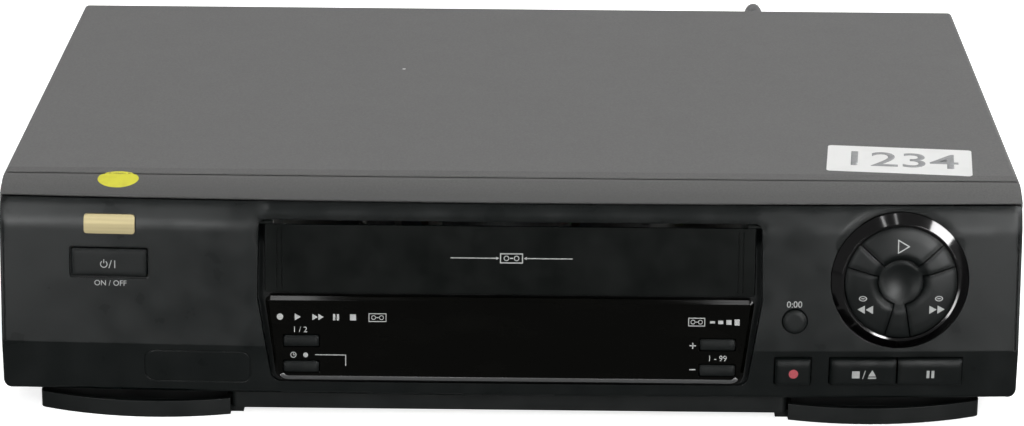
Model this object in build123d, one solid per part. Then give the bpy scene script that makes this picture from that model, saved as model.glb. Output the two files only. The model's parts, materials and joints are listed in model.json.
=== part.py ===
"""Video cassette recorder: cabinet, front controls, tape mechanism, boards and mains lead.

Millimetres.  X runs to the right as seen from the front, Y runs to the back and Z up.  The origin is
on the table, in the middle of the width and half way between the foremost and rearmost points.
Depths are given as a reach: the distance in front of the cabinet's rear edge.
"""
import os
from math import acos, asin, atan2, cos, degrees, pi, radians, sin, tan

from build123d import *

# ---------------------------------------------------------------- cabinet
width = 400.0
height = 94.0
sheet = 0.8                  # painted steel of the cover
cover_bend = 2.0             # outside radius of the cover's long bends
skirt_z = 9.5                # lower edge of the cover's sides
top_depth = 239.0            # flat of the top, from the rear edge to the crease
strip_run = 20.6             # sloping strip in front of the crease, on the centre line
strip_drop = 5.6
front_bow = 4.5              # how much further forward the middle of the front is than its ends
flange_depth = 8.0           # of the cover's flange over the back
socket_reach = 9.0           # the aerial sockets stand this far out of the back
fit_gap = 0.3                # between parts that lie against each other
shaft_gap = 0.05             # all round a shaft or a hinge pin in its hole

# ---------------------------------------------------------------- front panel
seam = 0.8                   # between the cover's front edge and the panel
panel_wall = 2.5
panel_top_z = height - 6.4
shoulder_z = height - 15.1
shoulder_r = 8.0
crease_z = 31.0
crease_r = 2.5
panel_bottom_z = 10.8
shoulder_lean = radians(26)
face_lean = radians(8)
band_lean = radians(2)
panel_depth = 10.0           # side return of the panel
tongue_depth = 9.0           # tongue that runs on under the cover
tongue_inset = 1.2
tongue_root = 0.3            # how far the tongue runs into the panel
panel_side_gap = 0.2         # the panel is this much narrower than the cover, each side
corner_top = 2.4
corner_bottom = 4.0

# cassette mouth and display window, as seen from the front
mouth_half = 98.2
mouth_top_z = shoulder_z + 2.4
mouth_knee_half = mouth_half + 0.7
mouth_foot_half = mouth_half - 4.8
mouth_bottom_z = 16.8
mouth_depth = 6.0
mouth_wall = 2.0
door_width = 2 * mouth_half - 5.1
door_top_z = shoulder_z + 0.5
door_bottom_z = door_top_z - 26.6
mouth_knee_z = door_bottom_z - 2.5
door_wall = 2.2
door_recess = 1.3
door_groove = (0.5, 0.8)     # width and depth of the fine lines near the door's ends
door_groove_inset = 5.6
door_groove_pitch = 1.8
door_pin_r = 0.75
door_pin_z = shoulder_z + 0.7
pin_reach = 1.2              # of the door's pins into the mouth's side walls
window_half_top = mouth_half - 2.3
window_half_foot = window_half_top - 4.5
window_top_z = door_bottom_z - 1.4
window_bottom_z = mouth_bottom_z + 1.1
window_proud = 0.6
window_bevel = 1.5
window_wall = 2.4
light_half = 60.0            # opening behind the window for the display
light_z = (22.0, window_top_z - 6.4)

# ---------------------------------------------------------------- buttons
side_room = width / 2 - mouth_half   # of the face, on each side of the mouth


def beside(share):
    """X at this share of the way from the mouth's edge to the cabinet's right side."""
    return mouth_half + share * side_room


button_gap = 0.35
press = 1.0                  # travel of every button
button_depth = 3.2           # a cap reaches this far below the face round it
stem_r = 1.6
window_button = (13.7, 4.3)
window_button_x = window_half_top - 14.4
window_button_z = (34.0, 23.8)
window_button_proud = 0.7
power_size = (29.5, 10.9)
power_place = (-beside(0.5766), shoulder_z - 15.7)
power_proud = 1.4
power_surround = 0.9
power_surround_depth = 0.9
display_r = 4.7
display_place = (beside(0.1326), 43.0)
display_proud = 2.0
row_z = (17.6, 28.1)         # record, stop and pause stand in one row
row_proud = 3.0
record_x = (beside(0.0609), beside(0.1984))
stop_x = (beside(0.2721), beside(0.5255))
pause_x = (beside(0.5334), beside(0.7819))

# ---------------------------------------------------------------- round control pad
ring_z = (row_z[1] + 4.1, shoulder_z + 7.1)   # foot and top of the ring
dial_place = (beside(0.5324), (ring_z[0] + ring_z[1]) / 2)
ring_r = (ring_z[1] - ring_z[0]) / 2
ring_bore_r = ring_r - 4.6
ring_crown = 4.0             # height of the ring's inner edge above the face
ring_seat = 3.5              # depth of the ring's seat below the face
ring_gap = 0.25
boss_wall = 2.5
pad_r = ring_bore_r - 0.4
pad_edge = 3.5
pad_crown = 4.7
bowl_r = 0.5114 * pad_r
bowl_floor = 2.9
hub_r = 0.3927 * pad_r
hub_dip = 1.7
pad_plate = 1.5
pad_stem_r = 0.7078 * pad_r  # the caps' stems stand on this circle
spoke_angles = ((17.4, 41.7), (137.4, 163.2), (254.8, 280.0))
spoke_slot = 0.5

# ---------------------------------------------------------------- badge and moulded outline
badge_size = (20.0, 7.4)
badge_place = (-beside(0.5737), shoulder_z - 0.5)
badge_height = 0.8
badge_seat = 0.05            # film of glue under the badge
outline_x = (-mouth_half - 45.4, -mouth_half - 3.3)
outline_z = (15.4, 28.8)
outline_line = 0.6
outline_depth = 0.35

# ---------------------------------------------------------------- bottom tray and feet
tub_half = width / 2 - 14
tub_bottom_z = 3.0
tub_floor = 2.0
tub_wall = 2.2
tub_front_half = width / 2 - 90
tub_front_reach = 265.0
tub_corner_reach = 252.0
tub_rear_reach = 6.0
tub_top_z = 10.3
ledge_sheet = 1.8
rim_top_z = 22.0
vent_width = 3.0
vent_pitch = 7.0
tray_vents = (width / 2 - 82, 9)         # first vent and how many
tray_vent_reach = (40.0, 90.0)
foot_height = 6.7
foot_x = (width / 2 - 89.5, width / 2 - 13.5)
foot_apex = (width / 2 - 59, 268.9)
foot_ends = (264.9, 258.8)   # reach of the foot's front at its inner and outer end
foot_rim = 1.4
foot_floor = 1.6
foot_back_reach = 236.0
pad_foot_r = 9.0
pad_foot_place = (width / 2 - 35, 26.0)

# ---------------------------------------------------------------- screws
screw_r = 1.5
screw_hole_r = 1.8
screw_head_r = 3.2
screw_head = 1.6
screw_shank = 4.0
rear_screw_x = (50 - width / 2, 0.0, width / 2 - 50)
rear_screw_z = height - 5
side_screw_reach = (48.0, 196.0)
side_screw_z = 16.0
chassis_screw_x = width / 2 - 60
chassis_screw_places = ((-chassis_screw_x, 60.0), (chassis_screw_x, 60.0),
                        (-chassis_screw_x, 214.0), (chassis_screw_x, 214.0))

# ---------------------------------------------------------------- back
back_sheet = 1.0
scart_size = (47.0, 13.4)
scart_places = ((-52.0, 62.0), (-52.0, 38.0))
scart_depth = 14.0
scart_proud = 2.4
phono_places = ((14.0, 62.0), (14.0, 42.0))
phono_r = 4.1
phono_proud = 8.0
aerial_z = (66.0, 40.0)
tuner_x = (40 - width / 2, 74 - width / 2)
tuner_depth = 62.0
tuner_top_z = height - 14
aerial_r = 4.8
cord_exit = (width / 2 - 88, height - 12)
cord_hole_r = 5.2
louvres = (66.0, 12)         # first slot in the back and how many
louvre_z = (24.0, 54.0)

# ---------------------------------------------------------------- boards
board_sheet = 1.6
board_z = 9.0
main_board_x = (19 - width / 2, width / 2 - 101)
power_board_x = (width / 2 - 97, width / 2 - 19)
board_reach = (10.0, 245.0)
front_board_reach = 248.0
front_board_half = width / 2 - 13
front_board_z = (14.2, panel_top_z - 4.6)
front_board_neck = mouth_half + 7.8
front_board_neck_z = door_bottom_z - 3.8
post_r = 3.0
post_places = ((18 - width / 2, 32), (-beside(0.2141), 52), (width / 2 - 17, 34),
               (beside(0.1945), shoulder_z - 4.9), (22 - width / 2, shoulder_z - 0.9),
               (width / 2 - 18, shoulder_z + 0.1))
display_tube_half = 46.0
display_tube_z = (25.0, window_top_z - 8.4)
display_tube_depth = 6.5
switch_side = 6.0
switch_depth = 3.5
plunger_r = 1.6
plunger_depth = 0.8
switch_gap = 0.3             # between a resting button's stem, pressed home, and its switch
chip_half = (9.0, 7.0)
chip_high = 3.5
chip_places = ((40, 200), (40, 160), (75, 180), (75, 140), (50, 110))   # from the left side, and reach
transformer_place = (width / 2 - 50, 52.0)
transformer_size = (48.0, 42.0, 38.0)
winding_share = (0.62, 0.66)  # of the core's width and height
heat_sink_gap = 7.3          # between the deck's frame and its plate
heat_sink_sheet = 4.0
heat_sink_reach = (74.0, 120.0)
heat_sink_top = 62.0
fin_pitch = 8.8
fin_size = (9.0, 1.6)
can_lip = 0.8
right_cans = ((46.0, 100.0, 11.0, 30.0), (24.0, 96.0, 6.0, 20.0), (56.0, 128.0, 6.0, 16.0),
              (38.0, 132.0, 5.0, 12.0))     # inset from the side, reach, radius, height
left_cans = ((28.0, 92.0, 5.0, 12.0), (70.0, 96.0, 4.0, 11.0), (35.0, 226.0, 5.0, 12.0))

# ---------------------------------------------------------------- tape deck
deck_z = 22.0
deck_sheet = 1.5
deck_reach = (28.0, 236.0)
deck_post_r = 4.0
deck_post_places = ((-88.0, 40.0), (88.0, 40.0), (-88.0, 226.0), (88.0, 226.0))
cassette_width = 188.0
cassette_height = 25.0
slot_floor_z = door_bottom_z + 0.5   # underside of a cassette at the mouth
loaded_floor_z = 31.0        # underside of a cassette on the reels
loaded_back_reach = 108.0    # rear edge of a loaded cassette
holder_travel = 62.0
holder_depth = 60.0
holder_sheet = 1.0
holder_rail = 25.0
cassette_play = 0.6
slide_gap = 0.5
frame_gap = 1.5              # between the sled and the frame's side plates
guide_pin_r = 1.5
guide_gap = 0.3
sled_sheet = 1.2
frame_sheet = 1.5
frame_reach = (84.0, 235.0)
gear_module = 1.5
pinion_teeth = 16
rack_length = 76.0
pinion_shaft_r = 2.0
backlash = 0.2

reel_pitch = 92.5
reel_reach = 166.0
reel_r = 22.0
reel_spindle_r = 6.5
reel_spindle_z = 40.0
drum_r = 31.0
drum_place = (-6.0, 60.0)
drum_split_z = 42.0
drum_top_z = 59.5
drum_tilt = 6.0
drum_gap = 0.3
drum_shaft_r = 3.0
head_places = ((-62.0, 80.0, 8.0), (48.0, 74.0, 9.0))
head_z = (30.0, 50.0)
capstan_place = (58.0, 97.0)
capstan_r = 2.0
capstan_top_z = 52.0
flywheel_r = 20.0
flywheel_z = (14.3, 19.5)
belt_z = 12.8
belt_width = 1.6
belt_thickness = 0.9
capstan_pulley_r = 6.0
centre_pulley_r = 14.0
centre_place = (0.0, 150.0)
idler_reach = 172.0
idler_r = 10.0
idler_swing = 38.0           # degrees, either way from rest
spindle_r = 2.0
pinch_pivot = (74.0, 70.0)
pinch_rest = (79.8, 97.0)
pinch_r = 7.0
pinch_swing = 25.0           # degrees, from rest to the capstan's far side
tension_pivot = (-66.0, 108.0)
tension_post = (-50.0, 124.0)
tension_swing = 30.0         # degrees
carriage_starts = ((-34.0, 122.0), (22.0, 122.0))
carriage_ends = ((-47.0, 56.0), (35.0, 56.0))
guide_roller_r = 3.0
tape_top_z = 52.0

# ---------------------------------------------------------------- mains lead
cord_r = 3.2
relief_length = 32.0
relief_r = (5.0, 3.6)
relief_collar_r = 7.2
coil_turn_r = 34.0           # middle of the coil's turns
coil_layers = 2
coil_width_turns = 3
plug_length = 37.0
plug_width = 34.0
plug_height = 14.0
plug_boot = 14.0
plug_boot_r = 5.0
plug_pin_r = 2.0
plug_pin_length = 19.0
plug_pin_pitch = 18.6
plug_tail = (6.0, 34.0)      # where the tail runs, in front of the coil's centre

# ---------------------------------------------------------------- worked out
face_slope = tan(face_lean)
seam_reach = top_depth + strip_run
shoulder_reach = seam_reach + seam + (panel_top_z - shoulder_z) * tan(shoulder_lean)
crease_reach = shoulder_reach + (shoulder_z - crease_z) * face_slope
bow_radius = ((width / 2) ** 2 + front_bow ** 2) / (2 * front_bow)
cover_half = width / 2
inner_half = cover_half - sheet
rim_front_reach = seam_reach + seam - tongue_depth - front_bow - fit_gap
ceiling_z = height - sheet
panel_half = cover_half - panel_side_gap
deck_top_z = deck_z + deck_sheet
board_top_z = board_z + board_sheet
foremost = shoulder_reach + (shoulder_z - window_bottom_z - window_bevel) * face_slope + window_proud
rear_y = (foremost - socket_reach) / 2
door_pin_reach = (shoulder_reach + (shoulder_z - door_pin_z) * face_slope
                  - (door_recess + door_wall / 2) / cos(face_lean))
idler_arm_z = (deck_top_z + 4.2, deck_top_z + 5.4)
holder_half = cassette_width / 2 + 1.0 + holder_sheet
sled_x = (holder_half + slide_gap, holder_half + slide_gap + sled_sheet)
frame_inner = sled_x[1] + frame_gap
holder_front = loaded_back_reach + holder_travel + holder_depth - 1
holder_back = loaded_back_reach + holder_travel - 1
drop = slot_floor_z - loaded_floor_z
holder_floor_z = slot_floor_z - 0.2
holder_top_z = slot_floor_z + cassette_height + cassette_play
sled_bar_z = holder_top_z + holder_sheet + cassette_play
frame_top_z = sled_bar_z + sled_sheet + slide_gap + frame_sheet
sled_pin_z = slot_floor_z + 23.7
holder_pin_z = slot_floor_z + 16.7
sled_pin_reaches = (holder_back + 9, holder_front - 9)
holder_pin_reaches = (holder_back + 21, holder_front - 21)
pinion_r = gear_module * pinion_teeth / 2
pinion_place = (holder_back - 12.0, 30.0)
rack_root_z = pinion_place[1] + pinion_r + 1.25 * gear_module


def at(reach):
    """Y of a point that lies this far in front of the cabinet's rear edge."""
    return rear_y - reach


def face_reach(z):
    """Reach of the front face on the centre line, at height z."""
    if z >= shoulder_z:
        return shoulder_reach - (z - shoulder_z) * tan(shoulder_lean)
    if z >= crease_z:
        return shoulder_reach + (shoulder_z - z) * face_slope
    return crease_reach - (crease_z - z) * tan(band_lean)


def face_y(z, x=0.0):
    return at(face_reach(z)) + front_bow * (x / cover_half) ** 2


# ================================================================ helpers
def block(x, y, z):
    """Box between pairs of coordinates."""
    size = [abs(b - a) for a, b in (x, y, z)]
    middle = [(a + b) / 2 for a, b in (x, y, z)]
    return Pos(*middle) * Box(*size)


def slot_box(x, reach, z):
    """Box between pairs of coordinates, its depth given as a pair of reaches."""
    return block(x, (at(reach[0]), at(reach[1])), z)


def rod_z(x, y, z, r):
    return Pos(x, y, (z[0] + z[1]) / 2) * Cylinder(r, z[1] - z[0])


def rod_y(x, y, z, r):
    return Pos(x, (y[0] + y[1]) / 2, z) * Rot(90, 0, 0) * Cylinder(r, abs(y[1] - y[0]))


def rod_x(x, y, z, r):
    return Pos((x[0] + x[1]) / 2, y, z) * Rot(0, 90, 0) * Cylinder(r, x[1] - x[0])


def prism(points, plane, span, radii=None):
    """Polygon of plane coordinates, raised from span[0] to span[1] along the plane's normal."""
    if radii:
        line = FilletPolyline(*points, radius=radii, close=True)
    else:
        line = Polyline(*points, close=True)
    return plane * Pos(0, 0, span[0]) * extrude(make_face(line), span[1] - span[0])


def slab(half, z, y, corner):
    """Plate seen from the front: plus and minus half wide, z[0] to z[1] high, through y[0] to y[1]."""
    outline = Pos(0, (z[0] + z[1]) / 2) * RectangleRounded(2 * half, z[1] - z[0], corner)
    return Pos(0, y[1], 0) * (Plane.XZ * extrude(outline, y[1] - y[0]))


def pill(size, corner, plane, x, z, span):
    """Rounded rectangle centred at (x, z) of a plane, raised from span[0] to span[1]."""
    outline = RectangleRounded(size[0], size[1], corner)
    return plane * Pos(x, z, span[0]) * extrude(outline, span[1] - span[0])


def turned(points, plane, x=0.0, z=0.0):
    """Solid of revolution about a plane's normal at (x, z), from (radius, height) points."""
    profile = Plane.XZ * make_face(Polyline(*points, close=True))
    return plane * Pos(x, z, 0) * revolve(profile, Axis.Z)


def bowed(points, radii):
    """Solid swept round the front's plan curve from a closed side profile of (y, z) points."""
    profile = Plane.YZ * make_face(FilletPolyline(*points, radius=radii, close=True))
    spine = Axis((0, at(shoulder_reach) + bow_radius, 0), (0, 0, 1))
    half_turn = degrees(asin(cover_half * 1.05 / bow_radius))
    return revolve(profile.rotate(spine, -half_turn), spine, 2 * half_turn)


def group(pieces):
    """Separate solids that share one node."""
    return Compound(children=[solid for piece in pieces for solid in piece.solids()])


# The leaning face on the centre line: x across, y up the face, z out of it.
lean_plane = Plane(
    origin=(0, at(shoulder_reach + shoulder_z * face_slope), 0),
    x_dir=(1, 0, 0),
    z_dir=(0, -cos(face_lean), sin(face_lean)),
)


def up(z):
    """Distance along the leaning plane that matches a height."""
    return z / cos(face_lean)


def face_plane(x, z):
    """Plane that touches the bowed, leaning face at (x, z)."""
    turn = asin(x / bow_radius)
    out = (sin(turn) * cos(face_lean), -cos(turn) * cos(face_lean), sin(face_lean))
    return Plane(origin=(x, face_y(z, x), z), x_dir=(cos(turn), sin(turn), 0), z_dir=out)


# ================================================================ cover
def strip_section(reach, z, rise):
    """Everything in front of a bowed line, as a flat face at height z."""
    half = cover_half * 1.1
    side = at(reach) + rise * 1.21
    left, right = (-half, side, z), (half, side, z)
    far = at(foremost + 60)
    arc = ThreePointArc(left, (0, at(reach), z), right)
    rest = Polyline(right, (half, far, z), (-half, far, z), left)
    return make_face(Wire([*arc.edges(), *rest.edges()]))


def strip_tool(drop, ahead):
    """What is cut away above and in front of the sloping strip, lowered by drop and moved ahead."""
    sections = []
    for step in range(5):
        share = step / 4
        z = height - drop - strip_drop * (0.35 * share + 0.65 * share ** 2)
        sections.append(strip_section(top_depth + ahead + strip_run * share, z, front_bow * share + 0.01))
    return loft(sections) + extrude(sections[-1], height, dir=(0, 0, -1))


def top_cover():
    """Sheet steel cover: flat top, sloping front strip, two sides and a flange over the back."""
    front = at(seam_reach + 30)
    outer = block((-cover_half, cover_half), (front, rear_y), (skirt_z, height))
    outer = fillet(outer.edges().filter_by(Axis.Y).group_by(Axis.Z)[-1], cover_bend)
    outer = outer - strip_tool(0, 0)
    inner = block((-inner_half, inner_half), (front - 20, rear_y + 1), (skirt_z - 1, ceiling_z))
    inner = fillet(inner.edges().filter_by(Axis.Y).group_by(Axis.Z)[-1], cover_bend - sheet)
    inner = inner - strip_tool(sheet * 1.4, sheet)
    flange_half = inner_half - flange_depth
    flange = block((-flange_half, flange_half), (rear_y - sheet, rear_y), (height - flange_depth, ceiling_z))
    x, z = cord_exit
    flange = flange - rod_y(x, (rear_y - 2, rear_y + 1), z, relief_collar_r + fit_gap)
    cover = outer - inner + flange
    for x in rear_screw_x:
        cover = cover - rod_y(x, (rear_y - 2, rear_y + 1), rear_screw_z, screw_hole_r)
    for reach in side_screw_reach:
        cover = cover - rod_x((-cover_half - 1, cover_half + 1), at(reach), side_screw_z, screw_hole_r)
    return cover


def screw():
    """Pan-head screw along Z: head above the origin, shank below, with a cross recess."""
    head = Pos(0, 0, screw_head / 2) * Cylinder(screw_head_r, screw_head)
    head = fillet(head.edges().group_by(Axis.Z)[-1], screw_head * 0.45)
    shank = Pos(0, 0, -screw_shank / 2) * Cylinder(screw_r, screw_shank)
    for angle in (0, 90):
        head = head - Pos(0, 0, screw_head) * Rot(0, 0, angle) * Box(screw_head_r, 0.7, screw_head * 0.9)
    return head + shank


def cover_screws():
    rear = [Pos(x, rear_y, rear_screw_z) * Rot(-90, 0, 0) * screw() for x in rear_screw_x]
    sides = []
    for reach in side_screw_reach:
        sides.append(Pos(cover_half, at(reach), side_screw_z) * Rot(0, 90, 0) * screw())
        sides.append(Pos(-cover_half, at(reach), side_screw_z) * Rot(0, -90, 0) * screw())
    return group(rear + sides)


def chassis_screws():
    return group([Pos(x, at(reach), tub_bottom_z) * Rot(180, 0, 0) * screw()
                  for x, reach in chassis_screw_places])


# ================================================================ front panel
def mouth_outline(grow=0.0):
    """Corners of the recess for the cassette door and the window, on the leaning plane."""
    half, knee, foot = mouth_half + grow, mouth_knee_half + grow, mouth_foot_half + grow
    top, bottom = up(mouth_top_z) + grow, up(mouth_bottom_z) - grow
    return [(-half, top), (half, top), (knee, up(mouth_knee_z)), (foot, bottom), (-foot, bottom),
            (-knee, up(mouth_knee_z))]


def front_of(reach):
    """Space in front of the bowed line at this reach."""
    y, far = at(reach), at(foremost + 40)
    return bowed([(y, 0), (y, height), (far, height), (far, 0)], [0, 0, 0, 0])


def panel_body():
    """Outer form of the panel, solid: bowed in plan, leaning face, near-vertical band."""
    top_y = at(seam_reach + seam)
    back = top_y + panel_depth
    points = [(back, panel_top_z), (top_y, panel_top_z), (at(shoulder_reach), shoulder_z),
              (at(crease_reach), crease_z), (face_y(panel_bottom_z), panel_bottom_z), (back, panel_bottom_z)]
    body = bowed(points, [0, 0.8, shoulder_r, crease_r, 1.5, 0])
    return body & (panel_outline() & front_of(seam_reach + seam))


def panel_outline():
    """What the panel covers, seen from the front: two corner radii above, two below."""
    half, top, bottom = panel_half, panel_top_z, panel_bottom_z
    corners = [(-half, bottom), (half, bottom), (half, top), (-half, top)]
    radii = [corner_bottom, corner_bottom, corner_top, corner_top]
    return prism(corners, Plane.XZ, (-at(top_depth - 20), -at(foremost + 20)), radii)


def panel_tongue():
    """Ring behind the visible panel that runs on under the cover."""
    z = (panel_bottom_z + tongue_inset, panel_top_z - tongue_inset)
    ring = slab(inner_half - fit_gap, z, (at(foremost + 20), at(top_depth - 20)), corner_top)
    return ring & (front_of(seam_reach + seam - tongue_depth) - front_of(seam_reach + seam + tongue_root))


def panel_hollow():
    w = panel_wall
    top_y = at(seam_reach + seam) + w
    back = top_y + panel_depth + 30
    points = [(back, panel_top_z - w), (top_y, panel_top_z - w), (at(shoulder_reach) + w, shoulder_z - w / 3),
              (at(crease_reach) + w, crease_z), (face_y(panel_bottom_z) + w, panel_bottom_z + w),
              (back, panel_bottom_z + w)]
    hollow = bowed(points, [0, 0.8, shoulder_r, crease_r, 1, 0])
    span = (at(foremost + 20), at(top_depth - 60))
    return hollow & slab(panel_half - w, (panel_bottom_z + w, panel_top_z - w), span, 2)


def boss(x, z, r, depth):
    """Round block behind the face at (x, z)."""
    return face_plane(x, z) * Pos(0, 0, 10 - depth / 2) * Cylinder(r, depth + 20)


def panel_posts():
    """Pillars that hold the upright board, with a pilot hole each."""
    posts = []
    for x, z in post_places:
        front = face_y(z, x) + panel_wall / 2
        posts.append(rod_y(x, (front, at(front_board_reach)), z, post_r))
    return posts


def button_places():
    """Plane and half-size of each rectangular button that stands in the leaning face."""
    keys = [(lean_plane, side * window_button_x, up(z), window_button)
            for side in (-1, 1) for z in window_button_z]
    return keys + [(face_plane(*power_place), 0, 0, power_size)]


def key_hole(plane, x, z, size, span):
    grown = (size[0] + 2 * button_gap, size[1] + 2 * button_gap)
    return pill(grown, 0.6, plane, x, z, span)


def moulded_outline():
    """Fine rounded outline low on the left of the band."""
    x = (outline_x[0] + outline_x[1]) / 2
    z = (outline_z[0] + outline_z[1]) / 2
    wide, high = outline_x[1] - outline_x[0], outline_z[1] - outline_z[0]
    big = RectangleRounded(wide, high, 4)
    small = RectangleRounded(wide - 2 * outline_line, high - 2 * outline_line, 4 - outline_line)
    turn = asin(x / bow_radius)
    out = (sin(turn) * cos(band_lean), -cos(turn) * cos(band_lean), -sin(band_lean))
    plane = Plane(origin=(x, face_y(z, x), z), x_dir=(cos(turn), sin(turn), 0), z_dir=out)
    return plane * Pos(0, 0, -outline_depth) * extrude(big - small, 3)


def side_groove(side):
    """Fine groove down the leaning face, just inside one end."""
    x = side * (panel_half - 1.4)
    top, foot = face_y(shoulder_z, x) - 0.5, face_y(crease_z, x) - 0.5
    outline = [(top, shoulder_z), (foot, crease_z), (foot + 1.1, crease_z), (top + 1.1, shoulder_z)]
    return prism(outline, Plane.YZ, (x - 0.3, x + 0.3))


def row_hole(x):
    g = button_gap
    return slot_box((x[0] - g, x[1] + g), (tub_rear_reach + 190, foremost + 20), (row_z[0] - g, row_z[1] + g))


def front_panel():
    outer = panel_body()
    hollow = panel_hollow() - boss(*dial_place, ring_r + boss_wall, ring_seat + boss_wall)
    hollow = hollow - prism(mouth_outline(mouth_wall), lean_plane, (-mouth_depth - mouth_wall, 10))
    panel = outer + panel_tongue() - hollow
    for post in panel_posts():
        panel = panel + post
    panel = panel - prism(mouth_outline(), lean_plane, (-mouth_depth, 30), [3, 3, 0, 4, 4, 0])
    half = door_width / 2 + slide_gap
    low, high = up(door_bottom_z) - slide_gap, up(mouth_top_z)
    panel = panel - prism([(-half, low), (half, low), (half, high), (-half, high)], lean_plane, (-30, 0))
    above = [(-half, high - 1), (half, high - 1), (half, high + 6), (-half, high + 6)]
    panel = panel - prism(above, lean_plane, (-30, -panel_wall * 1.8))
    panel = panel - slot_box((-light_half, light_half), (foremost - 40, foremost), light_z)
    for plane, x, z, size in button_places():
        panel = panel - key_hole(plane, x, z, size, (-30, 30))
    grown = (power_size[0] + 2 * power_surround, power_size[1] + 2 * power_surround)
    panel = panel - pill(grown, 1.4, face_plane(*power_place), 0, 0, (-power_surround_depth, 10))
    panel = panel - face_plane(*display_place) * Cylinder(display_r + button_gap, 60)
    panel = panel - row_hole(record_x) - row_hole((stop_x[0], pause_x[1]))
    seat = face_plane(*dial_place)
    panel = panel - seat * Pos(0, 0, 10 - ring_seat) * Cylinder(ring_r + ring_gap, 20)
    panel = panel - seat * Cylinder(pad_stem_r + stem_r + 1.3, 40)
    panel = panel - moulded_outline() - side_groove(-1) - side_groove(1)
    ear = mouth_half + pin_reach + fit_gap
    return panel - rod_x((-ear, ear), at(door_pin_reach), door_pin_z, door_pin_r + shaft_gap)


def cassette_door():
    """Flap over the cassette mouth, with an ear and a hinge pin at each end."""
    half = door_width / 2
    low, high = up(door_bottom_z), up(door_top_z)
    flap = Pos(0, (low + high) / 2, -door_recess - door_wall / 2) * Box(door_width, high - low, door_wall)
    for side in (-1, 1):
        for step in (-0.5, 0.5):
            groove = Box(door_groove[0], high - low - 3, door_groove[1])
            x = side * (half - door_groove_inset) + step * door_groove_pitch
            flap = flap - Pos(x, (low + high) / 2, -door_recess) * groove
    flap = lean_plane * flap
    for side in (-1, 1):
        ends = sorted((side * (half - 3), side * half))
        flap = flap + rod_x(ends, at(door_pin_reach), door_pin_z, door_wall / 2)
        ends = sorted((side * (half - 1), side * (mouth_half + pin_reach)))
        flap = flap + rod_x(ends, at(door_pin_reach), door_pin_z, door_pin_r)
    return flap


def display_window():
    """Smoked window: a shallow tray with bevelled edges, open to the board behind it."""
    top, bottom = up(window_top_z), up(window_bottom_z)
    points = [(-window_half_top, top), (window_half_top, top), (window_half_foot, bottom),
              (-window_half_foot, bottom)]
    tray = prism(points, Plane.XY, (-mouth_depth, window_proud), [2, 2, 4, 4])
    tray = chamfer(tray.faces().sort_by(Axis.Z)[-1].edges(), window_bevel)
    wall = window_wall
    inner = [(-window_half_top + wall, top - wall), (window_half_top - wall, top - wall),
             (window_half_foot - wall, bottom + wall), (-window_half_foot + wall, bottom + wall)]
    tray = tray - prism(inner, Plane.XY, (-mouth_depth - 1, window_proud - wall), [1, 1, 2, 2])
    tray = lean_plane * tray
    for plane, x, z, size in button_places()[:-1]:
        tray = tray - key_hole(plane, x, z, size, (-30, 30))
    return tray


def badge():
    """Thin plate that follows the panel's surface over the shoulder."""
    x, z = badge_place
    wide, high = badge_size
    low, top, shoulder = z - high / 2, z + high / 2, at(shoulder_reach)
    back = [(face_y(low) - badge_seat, low), (shoulder - badge_seat, shoulder_z),
            (face_y(top) - badge_seat, top)]
    front = [(y - badge_height, z) for y, z in reversed(back)]
    plate = bowed(back + front, [0, shoulder_r, 0, 0, shoulder_r, 0])
    mask = Pos(x, shoulder, z) * Box(wide, 40, high)
    return plate & fillet(mask.edges().filter_by(Axis.Y), 1.2)


# ================================================================ buttons
def stem_length(start_reach, lean):
    """Length of a stem from start_reach to its switch, along a button's axis."""
    end = front_board_reach + switch_depth + plunger_depth + press + switch_gap
    return (start_reach - end) / cos(lean)


def stem(plane, x, z, depth, start_reach, lean):
    long = stem_length(start_reach, lean)
    return plane * Pos(x, z, -depth - long / 2) * Cylinder(stem_r, long)


def stem_foot(plane, x, z, depth, start_reach, lean):
    """Point where a stem's axis meets the upright board."""
    long = (start_reach - front_board_reach) / cos(lean)
    spot = (plane.location * Pos(x, z, -depth - long)).position
    return spot.X, spot.Z


def reach_of(plane, x, z, depth):
    return rear_y - (plane.location * Pos(x, z, -depth)).position.Y


def leaning_key(plane, x, z, size, proud, corner=0.8):
    """Cap with softened front edges, and the stem behind it."""
    cap = Pos(0, 0, (proud - button_depth) / 2) * Box(size[0], size[1], proud + button_depth)
    cap = fillet(cap.edges().filter_by(Axis.Z), corner)
    cap = fillet(cap.faces().sort_by(Axis.Z)[-1].edges(), min(0.35, proud / 2))
    cap = plane * Pos(x, z, 0) * cap
    start = reach_of(plane, x, z, button_depth)
    return cap + stem(plane, x, z, button_depth, start, face_lean)


def power_button():
    return leaning_key(face_plane(*power_place), 0, 0, power_size, power_proud - power_surround_depth)


def speed_button():
    return leaning_key(*window_key(-1, 0))


def link_button():
    return leaning_key(*window_key(-1, 1))


def channel_up_button():
    return leaning_key(*window_key(1, 0))


def channel_down_button():
    return leaning_key(*window_key(1, 1))


def window_key(side, row):
    z = up(window_button_z[row])
    return lean_plane, side * window_button_x, z, window_button, window_proud + window_button_proud


def display_button():
    plane = face_plane(*display_place)
    cap = Pos(0, 0, (display_proud - button_depth) / 2) * Cylinder(display_r, display_proud + button_depth)
    cap = fillet(cap.edges().group_by(Axis.Z)[-1], 0.8)
    start = reach_of(plane, 0, 0, button_depth)
    return plane * cap + stem(plane, 0, 0, button_depth, start, face_lean)


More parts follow.
